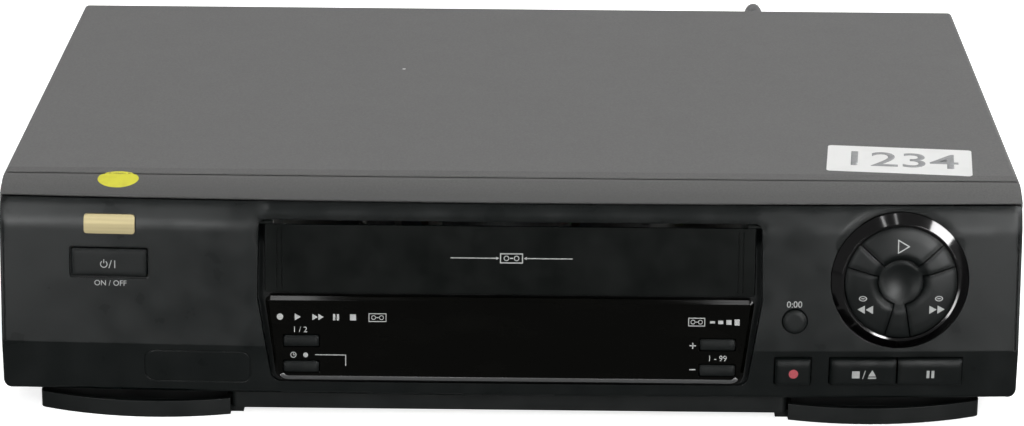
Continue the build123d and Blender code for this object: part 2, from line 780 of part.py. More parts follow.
def row_key(x, rounded):
    """Cap of the bottom row: follows the bowed band, with its outer ends rounded."""
    z = row_z
    out = crease_reach + row_proud
    points = [(at(crease_reach - button_depth), z[0]), (at(crease_reach - button_depth), z[1]),
              (at(out - 0.4), z[1]), (at(out), z[1] - 2.2), (at(out - 0.2), z[0])]
    cap = bowed(points, [0, 0, 0.6, 1.0, 0.8])
    middle = (x[0] + x[1]) / 2
    mask = Box(x[1] - x[0], 60, z[1] - z[0])
    edges = [edge for edge in mask.edges().filter_by(Axis.Z) if edge.center().Y < 0]
    for side in rounded:
        mask = fillet([edge for edge in edges if edge.center().X * side > 0], 2.4)
        edges = [edge for edge in mask.edges().filter_by(Axis.Z) if edge.center().Y < -25]
    front = at(out) + front_bow * (middle / cover_half) ** 2
    cap = cap & (Pos(middle, front + 30 - 0.3, (z[0] + z[1]) / 2) * mask)
    return cap + row_stem(middle)


def row_stem(x):
    z = (row_z[0] + row_z[1]) / 2
    front = at(crease_reach - button_depth + 1) + front_bow * (x / cover_half) ** 2
    end = front_board_reach + switch_depth + plunger_depth + press + switch_gap
    return rod_y(x, (front, at(end)), z, stem_r)


def record_button():
    return row_key(record_x, (-1, 1))


def stop_eject_button():
    return row_key(stop_x, (-1,))


def pause_button():
    return row_key(pause_x, (1,))


# ================================================================ round control pad
def pad_profile(floor):
    """Section of the pad's surface, from the rim inwards, down to the bowl round the hub."""
    swell = (pad_r * 0.8, pad_edge + (pad_crown - pad_edge) * 0.6)
    return [(0, floor), (pad_r, floor), (pad_r, pad_edge), swell, (bowl_r, pad_crown),
            (hub_r, bowl_floor), (0, bowl_floor)]


def sector(start, end, gap, floor, roof):
    """Wedge between two angles, its sides moved in by a gap that stays even along them."""
    middle = radians((start + end) / 2)
    half = radians((end - start) / 2)
    shift = gap / sin(half)
    far = (pad_r + 20) / cos(min(half, 1.2))
    corners = [(shift, 0), (far * cos(half) + shift, far * sin(half)),
               (far + shift, 0), (far * cos(half) + shift, -far * sin(half))]
    if half < 0.7:
        corners = corners[:2] + corners[3:]
    wedge = Polyline(*corners, close=True)
    return Rot(0, 0, degrees(middle)) * Pos(0, 0, floor) * extrude(make_face(wedge), roof - floor)


def dial_ring():
    """Flared ring round the pad, its skirt in the panel's seat."""
    points = [(ring_bore_r, -ring_seat), (ring_r, -ring_seat), (ring_r, 0.2), (ring_r - 0.5, 0.7),
              (ring_bore_r + 0.9, ring_crown), (ring_bore_r, ring_crown - 0.4)]
    return turned(points, face_plane(*dial_place))


def dial_hub():
    """Dished hub with three fixed arms, on a plate that closes the ring's bore."""
    plate_r = ring_bore_r - 0.2
    plate = Pos(0, 0, pad_plate / 2 - ring_seat) * Cylinder(plate_r, pad_plate)
    arms = turned(pad_profile(-ring_seat + 0.1), Plane.XY)
    keep = Pos(0, 0, 2) * Cylinder(hub_r + 0.2, 14)
    for start, end in spoke_angles:
        keep = keep + sector(start, end, 0, -ring_seat, pad_crown + 1)
    hub = plate + (arms & keep)
    sphere_r = (hub_r ** 2 + hub_dip ** 2) / (2 * hub_dip)
    hub = hub - Pos(0, 0, bowl_floor + sphere_r - hub_dip + 0.3) * Rot(90, 0, 0) * Sphere(sphere_r)
    for start, end in pad_spans():
        middle = radians((start + end) / 2)
        spot = (pad_stem_r * cos(middle), pad_stem_r * sin(middle), 0)
        hub = hub - Pos(*spot) * Cylinder(stem_r + button_gap, 20)
    return face_plane(*dial_place) * hub


def pad_spans():
    """Angles that the play, rewind and fast-forward caps cover, between the arms."""
    (a, b), (c, d), (e, f) = spoke_angles
    return [(b, c), (d, e), (f, a + 360)]


def pad_cap(start, end):
    floor = -ring_seat + pad_plate + press + switch_gap
    cap = turned(pad_profile(floor), Plane.XY)
    cap = cap - Pos(0, 0, 2) * Cylinder(hub_r + 0.2 + button_gap, 30)
    cap = cap & sector(start, end, spoke_slot, floor - 1, pad_crown + 1)
    plane = face_plane(*dial_place)
    middle = radians((start + end) / 2)
    x, z = pad_stem_r * cos(middle), pad_stem_r * sin(middle)
    begin = reach_of(plane, x, z, -floor - 1)
    return plane * cap + stem(plane, x, z, -floor - 1, begin, face_lean)


def play_button():
    return pad_cap(*pad_spans()[0])


def rewind_button():
    return pad_cap(*pad_spans()[1])


def fast_forward_button():
    return pad_cap(*pad_spans()[2])


# ================================================================ bottom tray and feet
def tub_outline(inset):
    half, neck = tub_half - inset, tub_front_half - inset
    rear, corner, front = tub_rear_reach + inset, tub_corner_reach - inset, tub_front_reach - inset
    reaches = [(-half, rear), (half, rear), (half, corner), (neck, corner), (neck, front), (-neck, front),
               (-neck, corner), (-half, corner)]
    return [(x, at(reach)) for x, reach in reaches]


def bottom_chassis():
    """Tray under the works: pan, ledge under the cover's sides, rim inside them, and posts."""
    pan = prism(tub_outline(0), Plane.XY, (tub_bottom_z, tub_top_z), [4, 4, 4, 0, 3, 3, 0, 4])
    rim_half = inner_half - fit_gap
    ledge_bottom = tub_top_z - ledge_sheet
    rear = back_sheet + sheet
    rim = slot_box((-rim_half, rim_half), (rear, rim_front_reach), (ledge_bottom, rim_top_z))
    rim = rim - slot_box((tub_wall - rim_half, rim_half - tub_wall), (rear - 1, rim_front_reach + 1),
                         (tub_top_z, rim_top_z + 1))
    tray = pan + rim
    well = prism(tub_outline(tub_wall), Plane.XY, (tub_bottom_z + tub_floor, tub_top_z + 5),
                 [2, 2, 2, 0, 2, 2, 0, 2])
    tray = tray - well - bottom_vents()
    for x, reach in deck_post_places:
        tray = tray + rod_z(x, at(reach), (tub_bottom_z + tub_floor, deck_z), deck_post_r)
    for x, reach in board_post_places():
        tray = tray + rod_z(x, at(reach), (tub_bottom_z + tub_floor, board_z), post_r)
    for x, reach in chassis_screw_places:
        tray = tray + rod_z(x, at(reach), (tub_bottom_z + tub_floor, board_z), post_r * 1.3)
        pilot = (tub_bottom_z - 1, tub_bottom_z + screw_shank + fit_gap)
        tray = tray - rod_z(x, at(reach), pilot, screw_hole_r)
    for side in (-1, 1):
        for reach in side_screw_reach:
            ends = sorted((side * (cover_half - screw_shank - fit_gap), side * (cover_half + 1)))
            tray = tray - rod_x(ends, at(reach), side_screw_z, screw_hole_r)
    return tray


def board_post_places():
    rows = (board_reach[0] + 6, 120.0, board_reach[1] - 8)
    columns = (main_board_x[0] + 6, main_board_x[1] - 6, power_board_x[0] + 6, power_board_x[1] - 6)
    return [(x, reach) for x in columns for reach in rows]


def bottom_vents():
    vents = []
    first, count = tray_vents
    for column in range(count):
        x = first + vent_pitch * column
        vents.append(slot_box((x, x + vent_width), tray_vent_reach,
                              (tub_bottom_z - 1, tub_bottom_z + tub_floor + 1)))
    return group(vents)


def foot(side):
    """Shallow tray in front of the pan's corner, with a tongue that runs back under it."""
    inner, outer = foot_x
    left = (inner, at(foot_ends[0]))
    right = (outer, at(foot_ends[1]))
    arc = ThreePointArc(left, (foot_apex[0], at(foot_apex[1])), right)
    back = at(tub_corner_reach)
    rest = Polyline(right, (outer, back), (inner, back), left)
    outline = make_face(Wire([*arc.edges(), *rest.edges()]))
    tray = extrude(outline, foot_height)
    tray = fillet(tray.edges().filter_by(Axis.Z).sort_by(Axis.Y)[:2].sort_by(Axis.X)[-1], 3.0)
    tray = tray - Pos(0, 0, foot_floor) * extrude(offset(outline, -foot_rim), foot_height)
    tray = tray + slot_box((inner + 2, outer - 2), (foot_back_reach, tub_corner_reach), (0, tub_bottom_z))
    lip = (tub_corner_reach + 1, foot_ends[0] - 3)
    tray = tray + slot_box((inner - 5, inner + 1), lip, (0, tub_bottom_z))
    return tray if side > 0 else mirror(tray, Plane.YZ)


def front_feet():
    return group([foot(-1), foot(1)])


def rear_feet():
    x, reach = pad_foot_place
    pads = []
    for side in (-1, 1):
        pad = rod_z(side * x, at(reach), (0, tub_bottom_z), pad_foot_r)
        pads.append(fillet(pad.edges().group_by(Axis.Z)[0], 0.8))
    return group(pads)


# ================================================================ back
def rear_panel():
    """Sheet steel back, held by the cover's flange and the tray."""
    y = (rear_y - sheet - back_sheet, rear_y - sheet)
    half = inner_half - fit_gap
    panel = block((-half, half), y, (tub_top_z - ledge_sheet, ceiling_z - fit_gap))
    panel = fillet(panel.edges().filter_by(Axis.Y).group_by(Axis.Z)[-1], cover_bend - sheet)
    for x, z in scart_places:
        w, h = scart_size
        panel = panel - Pos(x, rear_y, z) * Box(w + fit_gap, 10, h + fit_gap)
    for x, z in phono_places:
        panel = panel - rod_y(x, (y[0] - 1, y[1] + 1), z, phono_r + fit_gap)
    for z in aerial_z:
        x = (tuner_x[0] + tuner_x[1]) / 2
        panel = panel - rod_y(x, (y[0] - 1, y[1] + 1), z, aerial_r + fit_gap)
    for x in rear_screw_x:
        panel = panel - rod_y(x, (y[0] - 1, y[1] + 1), rear_screw_z, screw_hole_r)
    x, z = cord_exit
    panel = panel - rod_y(x, (y[0] - 1, y[1] + 1), z, cord_hole_r)
    first, count = louvres
    for column in range(count):
        x = first + vent_pitch * column
        panel = panel - block((x, x + vent_width), (y[0] - 1, y[1] + 1), louvre_z)
    return panel


def scart_socket(x, z):
    """Wide socket with a bevelled corner, two rows of slots and a flange behind the panel."""
    w, h = scart_size
    back = rear_y - sheet - back_sheet
    outline = [(-w / 2, -h / 2), (w / 2, -h / 2), (w / 2, h / 2 - 3), (w / 2 - 4, h / 2), (-w / 2, h / 2)]
    body = Pos(x, back - scart_depth, z) * (Plane.XZ * extrude(make_face(Polyline(*outline, close=True)),
                                                                 -(scart_depth + 2 * sheet + scart_proud)))
    body = body + Pos(x, back - 1.0 - fit_gap / 3, z) * Box(w + 8, 2.0, h + 2)
    rim = rear_y + scart_proud - sheet
    for row, count in ((-1, 10), (1, 10)):
        for index in range(count):
            step = (index - (count - 1) / 2) * 4.0 + row * 0.9
            body = body - block((x + step - 1.4, x + step + 1.4), (rim - 4, rim + 3),
                                (z + row * 2.6 - 0.5, z + row * 2.6 + 0.5))
    return body


def scart_sockets():
    return group([scart_socket(x, z) for x, z in scart_places])


def audio_sockets():
    """Two phono sockets on one moulded block."""
    back = rear_y - sheet - back_sheet
    xs = [x for x, z in phono_places]
    zs = [z for x, z in phono_places]
    body = block((min(xs) - 7, max(xs) + 7), (back - 11, back - fit_gap / 3), (min(zs) - 8, max(zs) + 8))
    for x, z in phono_places:
        body = body + rod_y(x, (back - 1, rear_y + phono_proud), z, phono_r)
        body = body - rod_y(x, (rear_y - 1, rear_y + phono_proud + 1), z, 1.7)
        for ring in (2.5, 5.0):
            collar = rod_y(x, (rear_y + ring, rear_y + ring + 0.5), z, phono_r + 1)
            body = body - (collar - rod_y(x, (rear_y, rear_y + phono_proud), z, phono_r - 0.35))
    return body


def tuner():
    """Screened box on the main board with two aerial sockets through the back."""
    back = rear_y - sheet - back_sheet
    body = block(tuner_x, (back - tuner_depth, back - fit_gap / 3), (board_top_z, tuner_top_z))
    body = fillet(body.edges(), 0.8)
    x = (tuner_x[0] + tuner_x[1]) / 2
    for z in aerial_z:
        body = body + rod_y(x, (back - 1, rear_y + socket_reach), z, aerial_r)
        body = body - rod_y(x, (rear_y, rear_y + socket_reach + 1), z, aerial_r - 0.9)
        body = body + rod_y(x, (rear_y - 1, rear_y + socket_reach - 1), z, aerial_r - 2.6)
        body = body - rod_y(x, (rear_y + 1, rear_y + socket_reach + 1), z, 1.0)
    return body


def strain_relief():
    """Tapered sleeve with a collar on each side of the back panel."""
    x, z = cord_exit
    inside = rear_y - sheet - back_sheet
    points = [(0, -fit_gap - 2), (relief_collar_r, -fit_gap - 2), (relief_collar_r, -fit_gap / 3),
              (cord_hole_r - 0.2, -fit_gap / 3), (cord_hole_r - 0.2, back_sheet + fit_gap / 3),
              (relief_collar_r, back_sheet + fit_gap / 3), (relief_collar_r, 3.4), (relief_r[0], 3.8),
              (relief_r[1], relief_length + sheet + back_sheet), (0, relief_length + sheet + back_sheet)]
    sleeve = Rot(-90, 0, 0) * revolve(Plane.XZ * make_face(Polyline(*points, close=True)), Axis.Z)
    sleeve = Pos(x, inside, z) * sleeve
    for groove in range(5):
        y = rear_y + 8 + groove * 4.4
        for side in (-1, 1):
            sleeve = sleeve - block((x + side * 3.0 - 3, x + side * 3.0 + 3), (y, y + 1.6), (z + 2.9, z + 8))
            sleeve = sleeve - block((x + side * 3.0 - 3, x + side * 3.0 + 3), (y, y + 1.6), (z - 8, z - 2.9))
    return sleeve


# ================================================================ mains lead
def route():
    """Points that the free lead follows, in front of the coil: out, down and along the floor."""
    x, z = cord_exit
    y = rear_y + relief_length
    floor = cord_r + 0.1
    fall = z - floor
    return [(x, y, z), (x, y + 24, z), (x - 1, y + 47, z - 0.216 * fall), (x - 4, y + 57, z - 0.5464 * fall),
            (x - 9, y + 70, z - 0.8386 * fall), (x - 16, y + 90, z - 0.9784 * fall),
            (x - 28, y + 109, floor), (x - 49, y + 118, floor)]


def corner_radii(points):
    """0.45 of the shorter run over the tangent of half the turn, at each inner point."""
    radii = []
    for before, here, after in zip(points, points[1:], points[2:]):
        first = Vector(*here) - Vector(*before)
        second = Vector(*after) - Vector(*here)
        turn = radians(first.get_angle(second))
        radii.append(0.45 * min(first.length, second.length) / tan(turn / 2))
    return radii


def tube_along(points):
    """Round lead along straight runs joined by the largest arcs that fit."""
    radii = corner_radii(points)
    print("cord radii", [round(r, 1) for r in radii])
    path = FilletPolyline(*points, radius=radii)
    tube = sweep(Plane(origin=path @ 0, z_dir=path % 0) * Circle(cord_r), path)
    share = tube.volume / (pi * cord_r ** 2 * path.length)
    print("cord length", round(path.length, 1), "volume over section times length", round(share, 4))
    return tube


def mains_cord():
    """Free stretch of the lead, and the short tail between its coil and the plug."""
    x, y = coil_centre()
    turn = coil_turn_r + (coil_width_turns - 1) * cord_r
    floor = cord_r + 0.1
    tail = rod_y(x - turn, (y - plug_tail[1], y - plug_tail[0]), floor, cord_r)
    return group([tube_along(route()), tail])


def coil_centre():
    """The lead runs into the coil's middle turn along a tangent."""
    last, end = route()[-2:]
    run = Vector(*end) - Vector(*last)
    run = Vector(run.X, run.Y, 0).normalized()
    side = Vector(run.Y, -run.X, 0)
    spot = Vector(*end) - side * coil_turn_r
    return spot.X, spot.Y


def cord_coil():
    """Neat coil of the lead's put-away length, lying behind the cabinet."""
    x, y = coil_centre()
    half_wide = coil_width_turns * cord_r
    high = 2 * coil_layers * cord_r
    section = Pos(coil_turn_r, high / 2) * RectangleRounded(2 * half_wide, high, cord_r * 0.95)
    return Pos(x, y, 0) * revolve(Plane.XZ * section, Axis.Z)


def mains_plug():
    """Flat two-pin plug lying beside the coil, in line with the lead's tail."""
    x, y = coil_centre()
    turn = coil_turn_r + (coil_width_turns - 1) * cord_r
    end = plug_boot + plug_length - 2
    floor = cord_r + 0.1
    body = Pos(0, end - plug_length / 2, plug_height / 2) * Box(plug_width, plug_length, plug_height)
    body = fillet(body.edges().filter_by(Axis.Z), 5)
    body = fillet(body.edges().group_by(Axis.Z)[-1] + body.edges().group_by(Axis.Z)[0], 3)
    body = body + Pos(0, plug_boot / 2, floor) * Rot(-90, 0, 0) * Cone(cord_r, plug_boot_r, plug_boot)
    body = body & Pos(0, 0, end) * Box(4 * end, 4 * end, 2 * end)
    for side in (-1, 1):
        pin = rod_y(side * plug_pin_pitch / 2, (end - 1, end + plug_pin_length), plug_height / 2, plug_pin_r)
        body = body + fillet(pin.edges().group_by(Axis.Y)[-1], 0.9)
    return Pos(x - turn, y - plug_tail[1], 0) * Rot(0, 0, 180) * body


# ================================================================ boards
def flat_board(x):
    board = slot_box(x, board_reach, (board_z, board_top_z))
    for px, reach in deck_post_places:
        board = board - rod_z(px, at(reach), (board_z - 1, board_top_z + 1), deck_post_r + fit_gap)
    return board


def main_board():
    """Large board under the deck with a few chips on it."""
    board = flat_board(main_board_x)
    chips = []
    for inset, reach in chip_places:
        x = inset - width / 2
        middle = Pos(x, at(reach), board_top_z + chip_high / 2)
        chips.append(middle * Box(2 * chip_half[0], 2 * chip_half[1], chip_high))
    for chip in chips:
        board = board + chip
    return board


def power_board():
    return flat_board(power_board_x)


def transformer():
    """Laminated core with a winding bobbin."""
    x, reach = transformer_place
    w, d, h = transformer_size
    core = Pos(x, at(reach), board_top_z + h / 2) * Box(w, d * 0.5, h)
    coil = Pos(x, at(reach), board_top_z + h / 2) * Box(w * winding_share[0], d, h * winding_share[1])
    coil = fillet(coil.edges().filter_by(Axis.Y), 4)
    return core + coil


def heat_sink():
    """Finned plate stood on the power board."""
    x = frame_inner + frame_sheet + heat_sink_gap
    near, far = x + heat_sink_sheet, x + heat_sink_sheet + fin_size[0]
    plate = slot_box((x, near), heat_sink_reach, (board_top_z, heat_sink_top))
    for fin in range(6):
        reach = heat_sink_reach[0] + fin * fin_pitch
        plate = plate + slot_box((near, far), (reach, reach + fin_size[1]), (board_top_z + 2, heat_sink_top))
    return plate


def capacitors():
    """Electrolytic cans stood on the two boards."""
    places = [(width / 2 - inset, *rest) for inset, *rest in right_cans]
    places += [(inset - width / 2, *rest) for inset, *rest in left_cans]
    cans = []
    for x, reach, r, tall in places:
        can = rod_z(x, at(reach), (board_top_z, board_top_z + tall), r)
        cans.append(fillet(can.edges().group_by(Axis.Z)[-1], can_lip))
    return group(cans)


def front_board():
    """Upright board behind the panel, cut away behind the cassette mouth."""
    y = (at(front_board_reach), at(front_board_reach - board_sheet))
    board = block((-front_board_half, front_board_half), y, front_board_z)
    neck = block((-front_board_neck, front_board_neck), (y[0] - 1, y[1] + 1),
                 (front_board_neck_z, front_board_z[1] + 1))
    return board - neck


def display_tube():
    """Glass display tube on the upright board, with the stub of its seal."""
    y = (at(front_board_reach + display_tube_depth), at(front_board_reach))
    tube = block((-display_tube_half, display_tube_half), y, display_tube_z)
    tube = fillet(tube.edges().filter_by(Axis.Y), 1.5)
    middle = (display_tube_z[0] + display_tube_z[1]) / 2
    return tube + rod_x((display_tube_half - 1, display_tube_half + 3), y[1] - 3, middle, 1.8)


def switch_places():
    """(x, z) on the upright board behind each button's stem."""
    spots = []
    for plane, x, z, size in button_places():
        spots.append(stem_foot(plane, x, z, button_depth, reach_of(plane, x, z, button_depth), face_lean))
    plane = face_plane(*display_place)
    spots.append(stem_foot(plane, 0, 0, button_depth, reach_of(plane, 0, 0, button_depth), face_lean))
    plane = face_plane(*dial_place)
    for start, end in pad_spans():
        middle = radians((start + end) / 2)
        x, z = pad_stem_r * cos(middle), pad_stem_r * sin(middle)
        spots.append(stem_foot(plane, x, z, 0, reach_of(plane, x, z, 0), face_lean))
    for x in (record_x, stop_x, pause_x):
        spots.append(((x[0] + x[1]) / 2, (row_z[0] + row_z[1]) / 2))
    return spots


def tact_switches():
    """One small push switch behind each button."""
    board_front = at(front_board_reach)
    switches = []
    for x, z in switch_places():
        body = Pos(x, board_front - switch_depth / 2, z) * Box(switch_side, switch_depth, switch_side)
        front = board_front - switch_depth
        switches.append(body + rod_y(x, (front - plunger_depth, front), z, plunger_r))
    return group(switches)


# ================================================================ tape deck
def carriage_track(side):
    """Start, end and direction of a tape-loading carriage's slot, as plan vectors."""
    (x0, r0), (x1, r1) = carriage_starts[side], carriage_ends[side]
    start, end = Vector(x0, at(r0)), Vector(x1, at(r1))
    return start, end, (end - start).normalized()


def plan_slot(start, end, half_width, z):
    """Upright round-ended slot between two plan points."""
    run = end - start
    angle = degrees(atan2(run.Y, run.X))
    middle = (start + end) * 0.5
    shape = SlotCenterToCenter(run.length, 2 * half_width)
    return Pos(middle.X, middle.Y, z[0]) * Rot(0, 0, angle) * extrude(shape, z[1] - z[0])


def mechanism_deck():
    """Pressed plate that carries the tape path, with fixed pins for the reels and levers."""
    z = (deck_z, deck_top_z)
    deck = slot_box((-frame_inner, frame_inner), deck_reach, z)
    deck = fillet(deck.edges().filter_by(Axis.Z), 2)
    for side in (0, 1):
        start, end, along = carriage_track(side)
        deck = deck - plan_slot(start, end, spindle_r + fit_gap, (z[0] - 1, z[1] + 1))
    for x, reach in (capstan_place, centre_place):
        deck = deck - rod_z(x, at(reach), (z[0] - 1, z[1] + 1), spindle_r + shaft_gap)
    for side in (-1, 1):
        deck = deck + rod_z(side * reel_pitch / 2, at(reel_reach), (deck_z, reel_spindle_z - 2), spindle_r)
        deck = deck - slot_box(sorted((side * 78, side * 88)), (70, 96), (z[0] - 1, z[1] + 1))
        deck = deck - slot_box(sorted((side * 14, side * 40)), (196, 222), (z[0] - 1, z[1] + 1))
    reach = pinion_place[0]
    half = pinion_r + 2 * gear_module
    notch = slot_box((sled_x[0] - slide_gap, frame_inner + 1), (reach - half, reach + half),
                     (z[0] - 1, z[1] + 1))
    deck = deck - notch
    deck = deck + rod_z(pinch_pivot[0], at(pinch_pivot[1]), (deck_z, 34), spindle_r)
    deck = deck + rod_z(tension_pivot[0], at(tension_pivot[1]), (deck_z, 30), spindle_r)
    return deck


def drum_frame(z):
    """Frame on the drum's tilted axis, at the height z measured along it from the deck."""
    x, reach = drum_place
    return Pos(x, at(reach), deck_top_z) * Rot(-drum_tilt, 0, 0) * Pos(0, 0, z - deck_top_z)


def lower_drum():
    """Fixed half of the head drum, cut flat where it stands on the deck, with the drum's shaft."""
    long = drum_split_z - deck_top_z + 8
    body = drum_frame(drum_split_z - long / 2) * Cylinder(drum_r, long)
    top = drum_split_z + (drum_top_z - drum_split_z) * 0.7
    body = body + drum_frame((deck_top_z + top) / 2) * Cylinder(drum_shaft_r, top - deck_top_z)
    x, reach = drum_place
    below = Pos(x, at(reach), deck_top_z - 20) * Box(4 * drum_r, 4 * drum_r, 40)
    return body - below


def upper_drum():
    """Spinning half of the drum with grooves for the air film and the two head windows."""
    floor = drum_split_z + drum_gap
    high = drum_top_z - floor
    body = Cylinder(drum_r, high)
    body = chamfer(body.edges().group_by(Axis.Z)[-1], 0.8)
    body = body - Pos(0, 0, high / 2 - 1.5) * (Cylinder(drum_r - 6, 4) - Cylinder(9, 4))
    for level in (-0.15, 0.1, 0.3):
        body = body - Pos(0, 0, level * high) * (Cylinder(drum_r + 1, 0.4) - Cylinder(drum_r - 0.4, 0.4))
    for angle in (0, 180):
        body = body - Rot(0, 0, angle) * Pos(drum_r, 0, -high / 2) * Box(4, 6, 4)
    bore = (drum_split_z + (drum_top_z - drum_split_z) * 0.7) - floor + fit_gap
    body = body - Pos(0, 0, -high / 2 + bore / 2) * Cylinder(drum_shaft_r + shaft_gap, bore)
    return drum_frame(floor + high / 2) * body


def capstan():
    """Shaft, flywheel and belt pulley in one turning piece."""
    x, reach = capstan_place
    shaft = rod_z(x, at(reach), (board_top_z + 0.6, capstan_top_z), capstan_r)
    wheel = rod_z(x, at(reach), flywheel_z, flywheel_r)
    wheel = chamfer(wheel.edges(), 0.6)
    for spoke in range(3):
        turn = Pos(x, at(reach), sum(flywheel_z) / 2) * Rot(0, 0, 120 * spoke)
        wheel = wheel - turn * Pos(0.6 * flywheel_r, 0, 0) * Cylinder(0.2 * flywheel_r, 8)
    return shaft + wheel + belt_pulley(x, reach, capstan_pulley_r)


def belt_pulley(x, reach, r):
    pulley = rod_z(x, at(reach), (belt_z - belt_width / 2 - 0.5, flywheel_z[0]), r)
    groove = rod_z(x, at(reach), (belt_z - belt_width / 2 - 0.1, belt_z + belt_width / 2 + 0.1), r + 1)
    core = rod_z(x, at(reach), (belt_z - belt_width, belt_z + belt_width), r - 0.7)
    return pulley - (groove - core)


def centre_pulley():
    """Pulley under the deck whose shaft carries the idler arm above it."""
    x, reach = centre_place
    shaft = rod_z(x, at(reach), (belt_z - 1, deck_top_z + 6), spindle_r)
    hub = rod_z(x, at(reach), (flywheel_z[0] - 0.5, flywheel_z[1]), 5)
    return belt_pulley(x, reach, centre_pulley_r) + hub + shaft


def reel_belt():
    """Flat loop round the two pulleys."""
    gap = fit_gap - 0.7
    a, b = Vector(capstan_place[0], at(capstan_place[1])), Vector(centre_place[0], at(centre_place[1]))
    z = (belt_z - belt_width / 2, belt_z + belt_width / 2)
    small, large = capstan_pulley_r + gap, centre_pulley_r + gap
    outer = belt_outline(a, b, small + belt_thickness, large + belt_thickness)
    inner = belt_outline(a, b, small, large)
    return Pos(0, 0, z[0]) * extrude(outer - inner, z[1] - z[0])


def belt_outline(a, b, ra, rb):
    """Outline that wraps two circles."""
    run = b - a
    angle = atan2(run.Y, run.X)
    lean = acos((ra - rb) / run.length)
    corners = []
    for centre, r, turn in ((a, ra, lean), (b, rb, lean), (b, rb, -lean), (a, ra, -lean)):
        corners.append((centre.X + r * cos(angle + turn), centre.Y + r * sin(angle + turn)))
    belt = make_face(Polyline(*corners, close=True))
    return belt + Pos(a.X, a.Y) * Circle(ra) + Pos(b.X, b.Y) * Circle(rb)


def reel(side):
    """Reel table with a splined spindle on the deck's pin."""
    x = side * reel_pitch / 2
    y = at(reel_reach)
    table = rod_z(x, y, (deck_top_z + 1.5, deck_top_z + 3.5), reel_r)
    hub = rod_z(x, y, (deck_top_z + fit_gap, reel_spindle_z - 6), reel_spindle_r)
    nose = Pos(x, y, reel_spindle_z - 3) * Cone(reel_spindle_r, 3.2, 6)
    body = table + hub + nose
    for spline in range(3):
        angle = 120 * spline + 30
        rib = Pos(x, y, 0) * Rot(0, 0, angle) * Pos(reel_spindle_r + 0.6, 0, 31) * Box(2.4, 1.6, 8)
        body = body + rib
    return body - rod_z(x, y, (deck_z, reel_spindle_z - 2 + fit_gap), spindle_r + shaft_gap)


def supply_reel():
    return reel(-1)


def takeup_reel():
    return reel(1)


def lever(start, end, z, half_width, bore_r):
    """Flat link between two plan points, bored at its start."""
    link = plan_slot(start, end, half_width, z)
    return link - rod_z(start.X, start.Y, (z[0] - 1, z[1] + 1), bore_r)


def idler_arm():
    """Swinging link that carries the idler wheel on a short pin."""
    pivot = Vector(centre_place[0], at(centre_place[1]))
    end = Vector(0, at(idler_reach))
    arm = lever(pivot, end, idler_arm_z, 4.5, spindle_r + shaft_gap)
    return arm + rod_z(end.X, end.Y, (deck_top_z + 0.8, idler_arm_z[1]), spindle_r)


def idler_wheel():
    x, y = 0, at(idler_reach)
    wheel = rod_z(x, y, (deck_top_z + 1.3, idler_arm_z[0] - fit_gap), idler_r)
    wheel = chamfer(wheel.edges(), 0.3)
    return wheel - rod_z(x, y, (deck_top_z, idler_arm_z[1]), spindle_r + shaft_gap)


def pinch_arm():
    """Lever with the upright pin that the pinch roller turns on."""
    pivot = Vector(pinch_pivot[0], at(pinch_pivot[1]))
    end = Vector(pinch_rest[0], at(pinch_rest[1]))
    arm = lever(pivot, end, (deck_top_z + 1, deck_top_z + 3), 4.5, spindle_r + shaft_gap)
    arm = arm + rod_z(pivot.X, pivot.Y, (deck_top_z + 3, 33), 4.5)
    arm = arm - rod_z(pivot.X, pivot.Y, (deck_z, 35), spindle_r + shaft_gap)
    return arm + rod_z(end.X, end.Y, (deck_top_z + 1, tape_top_z), spindle_r)


def pinch_roller():
    """Rubber roller on the pinch arm's pin."""
    x, y = pinch_rest[0], at(pinch_rest[1])
    roller = rod_z(x, y, (30, tape_top_z - 1), pinch_r)
    roller = fillet(roller.edges(), 0.6)
    return roller - rod_z(x, y, (deck_z, tape_top_z + 1), spindle_r + shaft_gap)


def tension_arm():
    """Light lever with an upright guide pin near the supply side."""
    pivot = Vector(tension_pivot[0], at(tension_pivot[1]))
    end = Vector(tension_post[0], at(tension_post[1]))
    arm = lever(pivot, end, (deck_top_z + 0.5, deck_top_z + 1.7), 3.5, spindle_r + shaft_gap)
    return arm + rod_z(end.X, end.Y, (deck_top_z + 0.5, tape_top_z), 1.5)


def carriage(side):
    """Shoe that runs along its slot with a guide roller and a slanted pin."""
    start, end, along = carriage_track(side)
    shoe = plan_slot(start - along * 4, start + along * 4, 5.0, (deck_top_z + fit_gap, deck_top_z + 3.5))
    keel = rod_z(start.X, start.Y, (deck_z - 2.2, deck_top_z + 1), spindle_r)
    clip = rod_z(start.X, start.Y, (deck_z - 2.2, deck_z - fit_gap), 3.6)
    post = rod_z(start.X, start.Y, (deck_top_z + 3, tape_top_z), 1.5)
    roller = rod_z(start.X, start.Y, (30, tape_top_z - 2), guide_roller_r)
    back = start - along * 6
    pin = rod_z(back.X, back.Y, (deck_top_z + 3, tape_top_z - 4), 1.2)
    return shoe + keel + clip + post + roller + pin


def supply_carriage():
    return carriage(0)


def takeup_carriage():
    return carriage(1)


def tape_heads():
    """Erase head and the audio and control head on their posts."""
    heads = []
    for x, reach, side in head_places:
        post = rod_z(x, at(reach), (deck_top_z, head_z[0] + 1), 3)
        head = Pos(x, at(reach), (head_z[0] + head_z[1]) / 2) * Box(side, side, head_z[1] - head_z[0])
        heads.append(post + fillet(head.edges().filter_by(Axis.Z), 2))
    return group(heads)


